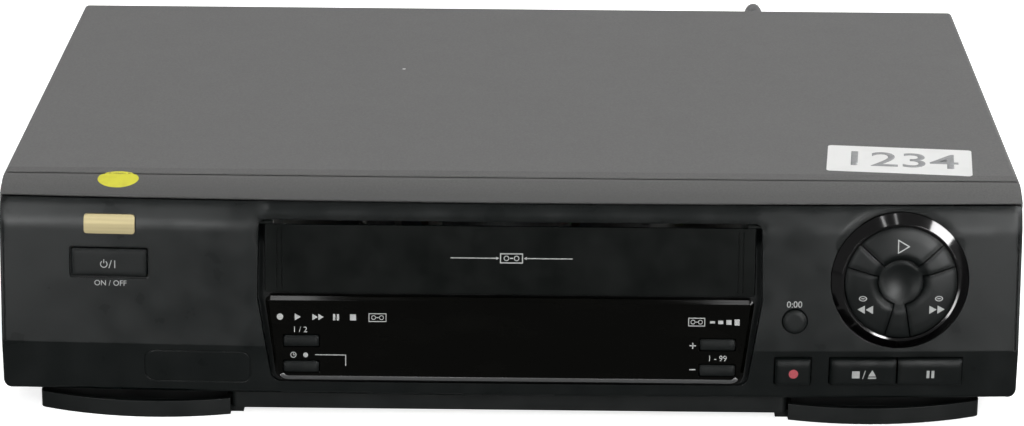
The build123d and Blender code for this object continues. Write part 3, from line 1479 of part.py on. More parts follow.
def cassette_frame():
    """Two upright side plates beside the deck, slotted for the sled and tied across the top."""
    z = (deck_z, frame_top_z)
    front, back = frame_reach[1], frame_reach[0]
    frame = None
    for side in (-1, 1):
        x = sorted((side * frame_inner, side * (frame_inner + frame_sheet)))
        plate = slot_box(x, (back, front), z)
        half = guide_pin_r + guide_gap
        reaches = (sled_pin_reaches[0] - holder_travel - half, sled_pin_reaches[1] + half)
        plate = plate - slot_box((x[0] - 1, x[1] + 1), reaches, (sled_pin_z - half, sled_pin_z + half))
        plate = plate - slot_box((x[0] - 1, x[1] + 1), (back + 14, back + 40), (34, 62))
        frame = plate if frame is None else frame + plate
    half = frame_inner + frame_sheet
    for reach in (front - 20, back + 6):
        bar = slot_box((-half, half), (reach, reach + 10), (z[1] - frame_sheet, z[1]))
        frame = frame + bar
    x = (frame_inner - 0.5, frame_inner + frame_sheet + 1)
    hole = rod_x(x, at(pinion_place[0]), pinion_place[1], pinion_shaft_r + shaft_gap)
    return frame - hole


def rack_teeth():
    """Straight-sided teeth along the lower edge of the right-hand sled plate."""
    pitch = pi * gear_module
    pitch_line = pinion_place[1] + pinion_r
    tip = pitch_line - 0.8 * gear_module
    slope = tan(radians(20))
    teeth = []
    count = int(rack_length / pitch)
    first = -1
    for index in range(count):
        middle = at(pinion_place[0] + (first + index) * pitch)
        half_tip = pitch / 4 - backlash / 2 - slope * (pitch_line - tip)
        half_root = pitch / 4 - backlash / 2 + slope * (rack_root_z - pitch_line)
        root = rack_root_z + 0.1
        outline = [(middle - half_root, root), (middle - half_tip, tip), (middle + half_tip, tip),
                   (middle + half_root, root)]
        teeth.append(prism(outline, Plane.YZ, sled_x))
    return teeth


def holder_sled():
    """Carrier that slides back with the cassette: two plates, a bar across, guide pins and a rack."""
    floor = rack_root_z
    top = sled_bar_z + sled_sheet
    reaches = (holder_back + 3, holder_front - 3)
    half = guide_pin_r + guide_gap
    sled = slot_box((-sled_x[1], sled_x[1]), (reaches[0] + 22, reaches[1] - 14), (sled_bar_z, top))
    for side in (-1, 1):
        x = sorted((side * sled_x[0], side * sled_x[1]))
        plate = slot_box(x, reaches, (floor, top))
        for reach in holder_pin_reaches:
            plate = plate - slot_box((x[0] - 1, x[1] + 1), (reach - half, reach + half),
                                     (holder_pin_z - drop - half, holder_pin_z + half))
        for reach in sled_pin_reaches:
            ends = sorted((side * (sled_x[0] + 0.1), side * (frame_inner + frame_sheet + 0.8)))
            plate = plate + rod_x(ends, at(reach), sled_pin_z, guide_pin_r)
        sled = sled + plate
    strip = slot_box(sled_x, (pinion_place[0] - 7, reaches[0] + 1), (floor, floor + 4))
    sled = sled + strip
    for tooth in rack_teeth():
        sled = sled + tooth
    return sled


def cassette_holder():
    """Sheet cage for the cassette: roof, sides, and rails under its two edges."""
    top = holder_top_z + holder_sheet
    reaches = (holder_back, holder_front)
    cage = slot_box((-holder_half, holder_half), reaches, (holder_floor_z - holder_sheet, top))
    cage = cage - slot_box((holder_sheet - holder_half, holder_half - holder_sheet),
                           (reaches[0] - 1, reaches[1] + 1), (holder_floor_z, holder_top_z))
    gap = holder_half - holder_rail
    below = (holder_floor_z - 5, holder_floor_z + 1)
    cage = cage - slot_box((-gap, gap), (reaches[0] - 1, reaches[1] + 1), below)
    cage = cage - slot_box((-50, 50), (reaches[0] + 18, reaches[1] - 12), (holder_top_z - 1, top + 1))
    for side in (-1, 1):
        x = sorted((side * (holder_half - 9), side * holder_half))
        stop = (holder_floor_z - 0.5, holder_floor_z + 9)
        cage = cage + slot_box(x, (reaches[0], reaches[0] + holder_sheet), stop)
        for reach in holder_pin_reaches:
            ends = sorted((side * (holder_half - 0.1), side * sled_x[1]))
            cage = cage + rod_x(ends, at(reach), holder_pin_z, guide_pin_r)
    return cage


def lift_gear():
    """Pinion that drives the sled's rack, on a stub shaft in the frame plate."""
    reach, z = pinion_place
    base_r = pinion_r * cos(radians(20))
    tip_r = pinion_r + gear_module * 0.85
    root_r = pinion_r - 1.2 * gear_module
    flank = []
    for step in range(4):
        r = base_r + (tip_r - base_r) * step / 3
        press_angle = acos(base_r / r)
        shift = tan(press_angle) - press_angle - (tan(radians(20)) - radians(20))
        flank.append((r, pi / (2 * pinion_teeth) - backlash / (2 * pinion_r) - shift))
    disc = Circle(root_r + 0.05)
    for tooth in range(pinion_teeth):
        middle = 2 * pi * (tooth + 0.5) / pinion_teeth + pi / 2
        side = [(root_r - 0.3, flank[0][1])] + flank
        left = [(r * cos(middle + a), r * sin(middle + a)) for r, a in side]
        right = [(r * cos(middle - a), r * sin(middle - a)) for r, a in reversed(side)]
        disc = disc + make_face(Polyline(*left, *right, close=True))
    gear = Plane.YZ * extrude(disc, sled_x[1] - sled_x[0])
    gear = Pos(sled_x[0], at(reach), z) * gear
    shaft = rod_x((sled_x[0], frame_inner + frame_sheet + 2), at(reach), z, pinion_shaft_r)
    return gear + shaft


# ================================================================ output
NODES = [
    top_cover, cover_screws, chassis_screws, front_panel, cassette_door, display_window, badge,
    power_button, speed_button, link_button, channel_up_button, channel_down_button, display_button,
    record_button, stop_eject_button, pause_button, dial_ring, dial_hub, play_button, rewind_button,
    fast_forward_button, bottom_chassis, front_feet, rear_feet, rear_panel, scart_sockets, audio_sockets,
    tuner, strain_relief, mains_cord, cord_coil, mains_plug, main_board, power_board, transformer,
    heat_sink, capacitors, front_board, display_tube, tact_switches, mechanism_deck, lower_drum,
    upper_drum, capstan, centre_pulley, reel_belt, supply_reel, takeup_reel, idler_arm, idler_wheel,
    pinch_arm, pinch_roller, tension_arm, supply_carriage, takeup_carriage, tape_heads, cassette_frame,
    holder_sled, cassette_holder, lift_gear,
]


def main():
    os.makedirs("parts", exist_ok=True)
    for make in NODES:
        export_step(make(), f"parts/{make.__name__}.step")
    print(len(NODES), "nodes")


if __name__ == "__main__":
    main()
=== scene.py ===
# %% [markdown]
# # A front-loading video recorder
#
# The solid parts of this recorder were made in a CAD program and arrive here as a fixed frame.
# Blender adds what CAD does not do well: paint, moulded plastic, printed marks, paper and the
# soft mains lead. Each step first says what the real thing is, then how it is made here.

import json
from math import cos, pi, radians, sin

import bmesh
import bpy
from mathutils import Matrix, Vector
from mathutils.bvhtree import BVHTree


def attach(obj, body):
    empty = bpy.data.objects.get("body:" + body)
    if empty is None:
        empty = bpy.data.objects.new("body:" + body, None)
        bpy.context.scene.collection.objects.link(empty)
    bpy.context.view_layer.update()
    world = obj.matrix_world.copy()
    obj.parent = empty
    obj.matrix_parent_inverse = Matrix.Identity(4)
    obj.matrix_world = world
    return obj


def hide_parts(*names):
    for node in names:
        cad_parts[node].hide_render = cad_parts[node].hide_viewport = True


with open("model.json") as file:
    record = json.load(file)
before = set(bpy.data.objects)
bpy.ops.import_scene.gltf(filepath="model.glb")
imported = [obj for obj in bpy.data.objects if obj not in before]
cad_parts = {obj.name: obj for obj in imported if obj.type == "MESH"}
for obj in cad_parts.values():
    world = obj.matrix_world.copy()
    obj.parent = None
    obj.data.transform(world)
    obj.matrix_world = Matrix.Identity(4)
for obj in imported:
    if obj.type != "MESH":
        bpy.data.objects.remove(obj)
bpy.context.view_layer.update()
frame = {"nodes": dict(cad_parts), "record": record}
nodes = frame["nodes"]
MM = 0.001

# %% [markdown]
# ## Camera
#
# A long lens from just above shows the whole front and the top cover with little perspective.
# The camera's turn is built from three directions, which avoids guessing at Euler angles: where
# it looks, what is level to its right, and what is up.

# %% Camera
camera_place = Vector((13.54, -1381.90, 514.23)) * MM
yaw, pitch, roll = radians(-0.59), radians(18.941), radians(-0.374)
ahead = Vector((sin(yaw) * cos(pitch), cos(yaw) * cos(pitch), -sin(pitch)))
level = Vector((cos(yaw), -sin(yaw), 0))
down = ahead.cross(level)
right = cos(roll) * level + sin(roll) * down
upward = sin(roll) * level - cos(roll) * down
lens = bpy.data.cameras.new("camera")
lens.lens = 119.53
lens.sensor_width = 36
lens.clip_end = 50
camera = bpy.data.objects.new("camera", lens)
bpy.context.scene.collection.objects.link(camera)
turned = Matrix((right, upward, -ahead)).transposed().to_4x4()
camera.matrix_world = Matrix.Translation(camera_place) @ turned
bpy.context.scene.camera = camera
print("camera looks", [round(v, 3) for v in ahead])

# %% [markdown]
# ## Floor
#
# A studio table is a sheet of pale paper, wide enough to fill any view.

# %% Floor
floor_reach = 6.0
floor_mesh = bpy.data.meshes.new("floor")
sheet = bmesh.new()
bmesh.ops.create_grid(sheet, x_segments=1, y_segments=1, size=floor_reach)
sheet.to_mesh(floor_mesh)
sheet.free()
floor = bpy.data.objects.new("floor", floor_mesh)
bpy.context.scene.collection.objects.link(floor)
print("floor", floor.dimensions.x, "m wide")

# %% [markdown]
# A plain white material would turn grey where the lamps are far away, so the paper answers the
# camera with some light of its own. It reads as white and still keeps the recorder's shadow.
# Mirrors see less of that light, or the underside of every glossy edge would glow. The Light
# Path node tells the kinds of ray apart.

# %% Paper of the floor
paper_white = 0.76
light_in_mirrors = 0.24
light_for_camera = 0.58


def seen_directly(tree):
    """A socket that is 1 for camera, mirror and see-through rays."""
    path = tree.nodes.new("ShaderNodeLightPath")
    total = path.outputs["Is Camera Ray"]
    for name in ("Is Glossy Ray", "Is Transmission Ray"):
        most = tree.nodes.new("ShaderNodeMath")
        most.operation = "MAXIMUM"
        tree.links.new(total, most.inputs[0])
        tree.links.new(path.outputs[name], most.inputs[1])
        total = most.outputs[0]
    return total


paper = bpy.data.materials.new("paper_floor")
paper.use_nodes = True
tree = paper.node_tree
matt = tree.nodes["Principled BSDF"]
matt.inputs["Base Color"].default_value = (paper_white, paper_white, paper_white, 1)
matt.inputs["Roughness"].default_value = 0.9
matt.inputs["Specular IOR Level"].default_value = 0.1
matt.inputs["Emission Color"].default_value = (1, 1, 1, 1)
glow = tree.nodes.new("ShaderNodeMapRange")
glow.inputs["To Max"].default_value = light_in_mirrors
lifted = tree.nodes.new("ShaderNodeMath")
lifted.operation = "MULTIPLY_ADD"
lifted.inputs[1].default_value = light_for_camera
tree.links.new(seen_directly(tree), glow.inputs["Value"])
tree.links.new(tree.nodes["Light Path"].outputs["Is Camera Ray"], lifted.inputs[0])
tree.links.new(glow.outputs["Result"], lifted.inputs[2])
tree.links.new(lifted.outputs[0], matt.inputs["Emission Strength"])
floor_mesh.materials.append(paper)
print("paper shines", light_in_mirrors + light_for_camera, "to the camera")

# %% [markdown]
# ## Light
#
# Blender's world is the light that comes from everywhere at once. A studio's white walls would
# give the same. Here it is white to the camera and in mirrors, so that polished parts look into
# a bright room, but much dimmer as a lamp, so that shadows stay.

# %% World
sky_as_lamp, sky_as_seen = 0.25, 1.0
world = bpy.data.worlds.new("studio")
bpy.context.scene.world = world
world.use_nodes = True
tree = world.node_tree
sky = tree.nodes["Background"]
sky.inputs["Color"].default_value = (1, 1, 1, 1)
strength = tree.nodes.new("ShaderNodeMapRange")
strength.inputs["To Min"].default_value = sky_as_lamp
strength.inputs["To Max"].default_value = sky_as_seen
tree.links.new(seen_directly(tree), strength.inputs["Value"])
tree.links.new(strength.outputs["Result"], sky.inputs["Strength"])
print("world:", sky_as_seen, "to the camera,", sky_as_lamp, "as a lamp")

# %% [markdown]
# Two kinds of area lamp do the rest. A box lights matt colours and isn't seen in gloss. A card
# is the opposite. Black plastic shows its form only by what it mirrors, so cards stand where the
# front, the window and the polished ring catch them. One lamp could do both, but then a brighter
# reflection would brighten every matt colour too. Blender's ray visibility keeps the two apart,
# so the colours stay as they are written.

# %% Boxes


def softbox(name, place, size, watts, aim, shows_in):
    """A square of light aimed at a point, which shows in matt colours or in gloss."""
    lamp = bpy.data.lights.new(name, "AREA")
    lamp.shape = "RECTANGLE"
    lamp.size, lamp.size_y = size
    lamp.energy = watts
    holder = bpy.data.objects.new(name, lamp)
    bpy.context.scene.collection.objects.link(holder)
    holder.location = place
    holder.visible_camera = False
    holder.visible_diffuse = shows_in == "matt"
    holder.visible_glossy = shows_in == "gloss"
    holder.rotation_euler = (Vector(aim) - Vector(place)).to_track_quat("-Z", "Y").to_euler()


machine = (0, 0, 0.06)
over_front = -0.27
for name, x in (("top_left_box", -0.41), ("top_right_box", 0.41)):
    softbox(name, (x, over_front, 1.8), (0.43, 0.8), 7, (x, over_front, 0), "matt")
softbox("front_left_box", (-0.68, -1.95, 1.3), (0.34, 0.55), 7, machine, "matt")
softbox("front_right_box", (0.70, -1.95, 1.2), (0.34, 0.55), 9, machine, "matt")
softbox("side_box", (1.8, 0.15, 1.35), (0.5, 0.8), 13, machine, "matt")

# %% [markdown]
# Two low cards stand left and right before the machine and light the rolled top of the front and
# the round pad. Two higher ones carry that light on to the ends of the roll and the middle of
# the pad. The widest card stands far to the right and draws the highlight on the polished ring.
# Two narrow ones hang overhead, for the upper edge of the window. A mirrored ray meets only one
# of two lamps in the same place, so a card that belongs to a box stands in front of it.

# %% Cards
softbox("left_card", (-0.92, -2.0, 0.50), (0.4, 0.8), 78, machine, "gloss")
softbox("right_card", (0.94, -2.0, 0.50), (0.4, 0.8), 112, machine, "gloss")
softbox("front_left_card", (-1.08, -1.72, 1.31), (0.34, 0.55), 60, machine, "gloss")
softbox("front_right_card", (1.12, -1.70, 1.31), (0.34, 0.55), 95, machine, "gloss")
softbox("side_card", (1.72, 0.143, 1.29), (1.0, 0.9), 230, machine, "gloss")
for name, x, wide, watts in (("top_left_card", -0.22, 0.06, 5), ("top_right_card", 0.19, 0.05, 3)):
    softbox(name, (x, over_front, 1.75), (wide, 0.6), watts, (x, over_front, 0), "gloss")
bpy.context.scene.view_settings.view_transform = "Standard"

# %% [markdown]
# ## Mains lead
#
# A mains lead is a fixed length of soft round cable. A curve object is the natural way to make
# one: its points say where the middle of the cable runs, and its bevel gives it thickness. A
# NURBS spline never passes through sharp corners, so a few listed points give a smooth
# fall from the back panel to the table. The spare length is wound into a coil of two layers:
# the turns go inwards on the table, climb one cable's thickness, and go outwards on top. Where
# it passes a point, such a curve takes three quarters of it and an eighth of each neighbour, so
# it runs inside the points of a turn. They stand a little further out, by the factor swell.

# %% Route of the lead
lead_radius = 3.2
lying = lead_radius + 0.1
route = [(112, 164.3, 82), (112, 188.3, 82), (111, 211.3, 65), (109, 221.3, 39), (106, 234.3, 16),
         (101.5, 256, 4.6), (91.4, 278.7, lying)]
coil_middle = (52.6, 246.2)
inner_turn, outer_turn, pitch_of_turns = 26.0, 45.2, 2 * lead_radius
points_per_turn, turns_inwards = 16, 3
start_angle, climb, last_angle = 66.8, 90.0, 2273.2
inward = turns_inwards * 360
swell = 1 / (0.75 + 0.25 * cos(2 * pi / points_per_turn))
winding = []
steps = round(last_angle / 360 * points_per_turn)
for step in range(steps + 1):
    wound = last_angle * step / steps
    if wound <= inward:
        reach, rise = outer_turn - pitch_of_turns * wound / 360, 0
    elif wound <= inward + climb:
        reach, rise = inner_turn, pitch_of_turns * (wound - inward) / climb
    else:
        reach, rise = inner_turn + pitch_of_turns * (wound - inward - climb) / 360, pitch_of_turns
    angle = radians(start_angle + wound)
    winding.append((coil_middle[0] + swell * reach * cos(angle),
                    coil_middle[1] + swell * reach * sin(angle), lying + rise))
tail = [(7.1, 238, 9.4), (7.5, 230, 7.6), (8.6, 223, 4.2), (9.2, 217.5, lying), (9.2, 212, lying)]
places = route + winding + tail
print(len(places), "points along the lead")

# %% [markdown]
# The bevel is one metre and each point's radius scales it down to the cable's, because Blender
# widens the box of a curve by the radius of its points. The spline's order is set after its
# points are there, since Blender won't keep an order higher than their number.

# %% Mains lead
curve = bpy.data.curves.new("mains_lead", "CURVE")
curve.dimensions = "3D"
curve.bevel_depth = 1.0
curve.bevel_resolution = 5
curve.resolution_u = 6
curve.use_fill_caps = True
spline = curve.splines.new("NURBS")
spline.points.add(len(places) - 1)
for point, place in zip(spline.points, places):
    point.co = (*(Vector(place) * MM), 1)
    point.radius = lead_radius * MM
spline.order_u = 3
spline.use_endpoint_u = True
lead = bpy.data.objects.new("mains_lead", curve)
bpy.context.scene.collection.objects.link(lead)
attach(lead, "cabinet")
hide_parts("mains_cord", "cord_coil")
print("lead", 2 * lead_radius, "mm thick")

# %% [markdown]
# ## How a finish is built
#
# Every real surface differs a little from place to place: paint has a skin like orange peel,
# moulded plastic copies the grain of its steel mould, and hands polish what they touch. One
# Principled shader holds the plain numbers of a finish on its own sockets, and what varies is
# linked to it afterwards.

# %% A plain finish
coats = {}


def finish(name, colour, rough, **plain):
    """A new material with its plain numbers on the shader's own sockets, kept by its name."""
    made = bpy.data.materials.new(name)
    made.use_nodes = True
    shader = made.node_tree.nodes["Principled BSDF"]
    shader.inputs["Base Color"].default_value = (*colour, 1)
    shader.inputs["Roughness"].default_value = rough
    for socket, value in plain.items():
        shader.inputs[socket.replace("_", " ")].default_value = value
    coats[name] = made
    return made


print("helper: finish")

# %% [markdown]
# A texture says where a finish changes. All textures read Object coordinates, which stay with a
# piece when it moves. The solids lie at the origin in metres, so a scale of 1000 means details
# about a millimetre wide. A Map Range node then fits the texture's values to their use.

# %% Patterns


def pattern(made, kind, scale, stretch=(1, 1, 1), turn=(0, 0, 0), output=0, **settings):
    """The output of a texture node laid out on the piece's own coordinates."""
    tree = made.node_tree
    place = tree.nodes.new("ShaderNodeTexCoord")
    layout = tree.nodes.new("ShaderNodeMapping")
    layout.inputs["Scale"].default_value = stretch
    layout.inputs["Rotation"].default_value = turn
    texture = tree.nodes.new("ShaderNodeTex" + kind)
    texture.inputs["Scale"].default_value = scale
    for socket, value in settings.items():
        texture.inputs[socket].default_value = value
    tree.links.new(place.outputs["Object"], layout.inputs["Vector"])
    tree.links.new(layout.outputs["Vector"], texture.inputs["Vector"])
    return texture.outputs[output]


def remap(made, source, span, result):
    """The source stretched from its own span to a new one, and held inside it."""
    tree = made.node_tree
    ranger = tree.nodes.new("ShaderNodeMapRange")
    ranger.inputs["From Min"].default_value, ranger.inputs["From Max"].default_value = span
    ranger.inputs["To Min"].default_value, ranger.inputs["To Max"].default_value = result
    tree.links.new(source, ranger.inputs["Value"])
    return ranger.outputs["Result"]


def coordinate(made, axis):
    """The piece's own coordinate along one axis, in metres."""
    tree = made.node_tree
    place = tree.nodes.new("ShaderNodeTexCoord")
    parts = tree.nodes.new("ShaderNodeSeparateXYZ")
    tree.links.new(place.outputs["Object"], parts.inputs["Vector"])
    return parts.outputs[axis]


print("helpers: pattern, remap, coordinate")

# %% [markdown]
# Two helpers put a pattern to use in the colour and the shine. A wash lays a second colour over
# the first, as a glaze would, and can be repeated. Polish lets the roughness wander.

# %% Washes and polish


def wash(made, colour, source, span=(0.35, 0.65), most=1.0):
    """Lays a second colour over the first: none at the span's start, most at its end."""
    tree = made.node_tree
    target = tree.nodes["Principled BSDF"].inputs["Base Color"]
    mix = tree.nodes.new("ShaderNodeMix")
    mix.data_type = "RGBA"
    factor, under, over = mix.inputs[0], mix.inputs[6], mix.inputs[7]
    under.default_value = target.default_value
    if target.is_linked:
        tree.links.new(target.links[0].from_socket, under)
    over.default_value = (*colour, 1)
    tree.links.new(remap(made, source, span, (0.0, most)), factor)
    tree.links.new(mix.outputs[2], target)


def polish(made, source, low, high, span=(0.3, 0.7)):
    """Roughness that wanders between two values."""
    tree = made.node_tree
    tree.links.new(remap(made, source, span, (low, high)),
                   tree.nodes["Principled BSDF"].inputs["Roughness"])


print("helpers: wash, polish")

# %% [markdown]
# Relief raises a bump from a pattern. The Bevel node in soften rounds edges in the shading only.
# Real mouldings and folded sheets have no sharp edges, and the thin line of light along them is
# what the eye takes for solid material. Where both are used, soften comes first, and the bump
# starts from its rounded surface.

# %% Relief and soft edges


def relief(made, source, depth):
    """A bump as deep as depth, in millimetres, added to any bump that is there already."""
    tree = made.node_tree
    target = tree.nodes["Principled BSDF"].inputs["Normal"]
    bump = tree.nodes.new("ShaderNodeBump")
    bump.inputs["Distance"].default_value = depth * MM
    tree.links.new(source, bump.inputs["Height"])
    if target.is_linked:
        tree.links.new(target.links[0].from_socket, bump.inputs["Normal"])
    tree.links.new(bump.outputs["Normal"], target)


def soften(made, radius):
    """Edges that catch the light as if rounded by radius, in millimetres."""
    tree = made.node_tree
    edge = tree.nodes.new("ShaderNodeBevel")
    edge.samples = 4
    edge.inputs["Radius"].default_value = radius * MM
    tree.links.new(edge.outputs["Normal"], tree.nodes["Principled BSDF"].inputs["Normal"])
    return edge


print("helpers: relief, soften")

# %% [markdown]
# ## Cover paint
#
# The top cover is one folded sheet of steel, sprayed with grey textured paint. The texture is a
# shallow orange peel, with grains of slightly darker pigment. A low, wide noise gives the sheet
# the uneven tone of an old cover, and a sparse Voronoi pattern leaves a few specks of dust. The
# sloping strip at the front is painted darker towards its edge: painted shade, where it turns
# down and away from the lamps above.

# %% Cover paint
paint = finish("cover_paint", (0.130, 0.129, 0.127), rough=0.5, Specular_IOR_Level=0.08)
soften(paint, radius=0.5)
wash(paint, (0.108, 0.107, 0.106), pattern(paint, "Noise", 1400, Detail=3))
wash(paint, (0.160, 0.158, 0.155), pattern(paint, "Noise", 9, Detail=4),
     span=(0.45, 0.75), most=0.06)
wash(paint, (0.42, 0.41, 0.39), pattern(paint, "Voronoi", 24), span=(0.022, 0.012), most=0.45)
polish(paint, pattern(paint, "Noise", 60, Detail=5), low=0.475, high=0.505)
relief(paint, pattern(paint, "Noise", 1500, Detail=2), depth=0.02)
# Painted shade: the front strip's colour darkens towards its edge, where it turns from the light.
painted_shade_from, front_edge = -0.112, -0.127
wash(paint, (0.075, 0.075, 0.074), coordinate(paint, "Y"), span=(painted_shade_from, front_edge),
     most=0.75)
print("cover paint:", len(paint.node_tree.nodes), "shader nodes")

# %% [markdown]
# ## Black mouldings
#
# The front, the flap, the keys and the tray are black plastic. Their satin comes from a fine
# grain etched in the mould. They are one family, so one helper makes them with small
# differences: the flap mirrors less, the keys are crowned by a wide soft edge, and the tray is
# duller. Years of dusting leave faint pale scuffs, which are stretched noise, a little lighter
# than the black. The front rolls over softly at its top, so the radius of its edges grows there
# between two heights. Shine is the shader's Specular IOR Level. It is far below its usual 0.5,
# because the cards are much brighter than walls that such plastic would mirror in a room.

# %% Black mouldings


def moulding(name, colour, rough, shine=0.09, grain=0.012, scuffs=0.25, radius=0.35, roll=None):
    """Black plastic with etched grain, uneven polish and a few scuffs; lengths in millimetres."""
    made = finish(name, colour, rough, Specular_IOR_Level=shine)
    edge = soften(made, radius)
    if roll:
        lower, upper, widest = roll
        wide = remap(made, coordinate(made, "Z"), (lower * MM, upper * MM),
                     (radius * MM, widest * MM))
        made.node_tree.links.new(wide, edge.inputs["Radius"])
    pale = tuple(v * 2.2 + 0.006 for v in colour)
    dark = tuple(v * 0.7 for v in colour)
    dust = (0.16, 0.16, 0.155)
    wash(made, pale, pattern(made, "Noise", 45, (1, 1, 2.6), Detail=7, Roughness=0.7),
         span=(0.56, 0.78), most=scuffs)
    wash(made, dark, pattern(made, "Noise", 2600, Detail=1))
    wash(made, dust, pattern(made, "Voronoi", 38), span=(0.014, 0.007), most=scuffs)
    polish(made, pattern(made, "Noise", 80, Detail=6), rough - 0.05, rough + 0.07)
    relief(made, pattern(made, "Noise", 3600, Detail=1), grain)


moulding("panel_plastic", (0.0025, 0.0042, 0.0040), rough=0.31, shine=0.068, roll=(70, 74, 5.0))
moulding("door_plastic", (0.0014, 0.0025, 0.0020), rough=0.33, shine=0.03, grain=0.008,
         scuffs=0.15)
moulding("button_black", (0.0040, 0.0056, 0.0054), rough=0.36, shine=0.05, grain=0.007,
         scuffs=0.12, radius=3.0)
moulding("tray_plastic", (0.0050, 0.0068, 0.0065), rough=0.42, shine=0.07, grain=0.015,
         scuffs=0.3)
moulding("socket_plastic", (0.022, 0.022, 0.023), rough=0.45, grain=0.01, scuffs=0.2, radius=0.2)
print("finishes so far:", len(coats))

# %% [markdown]
# ## Polished black
#
# The window before the display and the ring of the round pad are polished. Their colour matters
# less than what they mirror, so they are nearly black and smooth. Fine wiping scratches come
# from noise squeezed ninety to one, which only roughens the polish.

# %% Polished black


def polished(name, colour, rough, shine):
    """Smoked or black plastic polished by its mould, with wiping scratches."""
    made = finish(name, colour, rough, Specular_IOR_Level=shine)
    soften(made, radius=0.3)
    hazy = tuple(v * 2.0 + 0.002 for v in colour)
    wash(made, hazy, pattern(made, "Noise", 30, (1, 1, 3), Detail=6), span=(0.5, 0.8), most=0.4)
    scratches = pattern(made, "Noise", 40, (1, 1, 90), turn=(0, 0.3, 0), Detail=8)
    polish(made, scratches, rough, rough + 0.06, span=(0.5, 0.72))
    relief(made, pattern(made, "Noise", 700, Detail=2), depth=0.002)
    return made


polished("window_smoke", (0.0007, 0.0007, 0.0003), rough=0.06, shine=0.03)
polished("ring_gloss", (0.0012, 0.0010, 0.0012), rough=0.1, shine=0.11)
print("finishes so far:", len(coats))

# %% [markdown]
# ## Metals
#
# Zinc-plated steel shows large flat crystals, the spangle, which a Voronoi pattern gives its
# patchwork of tones. Drawn or turned aluminium has fine lines along the way it was worked,
# made by noise squeezed in one direction. The badge is pale gold foil, brushed sideways. The
# barrels of the phono sockets are plated, and the plating has dulled in patches.

# %% Metals


def worked_metal(name, colour, rough, lines, dark=0.78, depth=0.004):
    """Bare metal whose fine lines run along the direction with the smallest number."""
    made = finish(name, colour, rough, Metallic=1.0)
    soften(made, radius=0.2)
    wash(made, tuple(v * dark for v in colour), pattern(made, "Noise", 160, lines, Detail=8))
    polish(made, pattern(made, "Noise", 90, lines, Detail=6), rough - 0.07, rough + 0.1)
    relief(made, pattern(made, "Noise", 420, lines, Detail=4), depth)
    return made


even = (1, 1, 1)
zinc = worked_metal("zinc_steel", (0.41, 0.41, 0.40), rough=0.44, lines=even, dark=0.9)
wash(zinc, (0.31, 0.32, 0.32), pattern(zinc, "Voronoi", 95, output=1), span=(0.2, 0.9), most=0.55)
wash(zinc, (0.39, 0.36, 0.29), pattern(zinc, "Noise", 22, Detail=5), span=(0.52, 0.75), most=0.3)
worked_metal("badge_gold", (0.086, 0.074, 0.042), rough=0.5, lines=(0.05, 1, 6))
worked_metal("aluminium", (0.50, 0.51, 0.52), rough=0.34, lines=(1, 1, 14))
worked_metal("shaft_steel", (0.58, 0.58, 0.57), rough=0.18, lines=(1, 1, 10), dark=0.9,
             depth=0.001)
worked_metal("screw_black", (0.05, 0.05, 0.052), rough=0.4, lines=even, dark=0.6)
plated = finish("phono_plastic", (0.66, 0.64, 0.58), rough=0.28, Metallic=1.0)
soften(plated, radius=0.2)
wash(plated, (0.46, 0.42, 0.34), pattern(plated, "Noise", 220, Detail=6), span=(0.48, 0.7),
     most=0.7)
polish(plated, pattern(plated, "Noise", 300, Detail=4), low=0.2, high=0.36)
print("finishes so far:", len(coats))

# %% [markdown]
# ## Rubber, vinyl and nylon
#
# Rubber feet and tyres are dull and collect dust in their pores. The lead's vinyl is softer to the
# eye, with a faint waxy bloom. Reels, levers and gears are moulded in off-white nylon, which is
# slightly translucent, so light goes a little way in.

# %% Rubber, vinyl and nylon


def soft_black(name, colour, rough, bloom):
    """Rubber or vinyl with a dusty bloom in shallow pores."""
    made = finish(name, colour, rough, Specular_IOR_Level=0.3)
    dusty = tuple(v + bloom for v in colour)
    pores = tuple(v * 0.6 for v in colour)
    wash(made, dusty, pattern(made, "Noise", 130, Detail=8), span=(0.5, 0.8))
    wash(made, pores, pattern(made, "Noise", 1900, Detail=2))
    polish(made, pattern(made, "Noise", 210, Detail=4), rough - 0.08, rough + 0.08)
    relief(made, pattern(made, "Noise", 1500, Detail=3), depth=0.015)


soft_black("foot_rubber", (0.026, 0.026, 0.026), rough=0.75, bloom=0.05)
soft_black("roller_rubber", (0.02, 0.02, 0.02), rough=0.62, bloom=0.02)
soft_black("cord_vinyl", (0.013, 0.013, 0.0135), rough=0.42, bloom=0.012)
light_goes_in = 1.5
nylon = finish("white_nylon", (0.66, 0.645, 0.58), rough=0.42, Subsurface_Weight=0.12,
               Subsurface_Scale=light_goes_in * MM)
soften(nylon, radius=0.25)
wash(nylon, (0.55, 0.52, 0.43), pattern(nylon, "Noise", 34, Detail=5), span=(0.45, 0.8), most=0.6)
wash(nylon, (0.72, 0.71, 0.66), pattern(nylon, "Noise", 900, Detail=2))
polish(nylon, pattern(nylon, "Noise", 120, Detail=4), low=0.36, high=0.5)
relief(nylon, pattern(nylon, "Noise", 1300, Detail=2), depth=0.008)
print("light goes", light_goes_in, "mm into the nylon")

# %% [markdown]
# ## Boards, transformer and display glass
#
# Resin-paper boards are tan, with fibres that run one way. The transformer's core is a stack of
# thin varnished plates, so its sides show close straight lines, made here by a Wave pattern. The
# display tube is dark glass with a faint green phosphor behind it.

# %% Boards, transformer and display glass
board = finish("board_resin", (0.30, 0.205, 0.095), rough=0.48, Specular_IOR_Level=0.4)
soften(board, radius=0.15)
wash(board, (0.22, 0.14, 0.055), pattern(board, "Noise", 240, (1, 7, 1), Detail=7))
wash(board, (0.36, 0.27, 0.15), pattern(board, "Noise", 18, Detail=4), span=(0.5, 0.8), most=0.6)
polish(board, pattern(board, "Noise", 150, Detail=4), low=0.4, high=0.58)
relief(board, pattern(board, "Noise", 500, (1, 7, 1), Detail=4), depth=0.012)

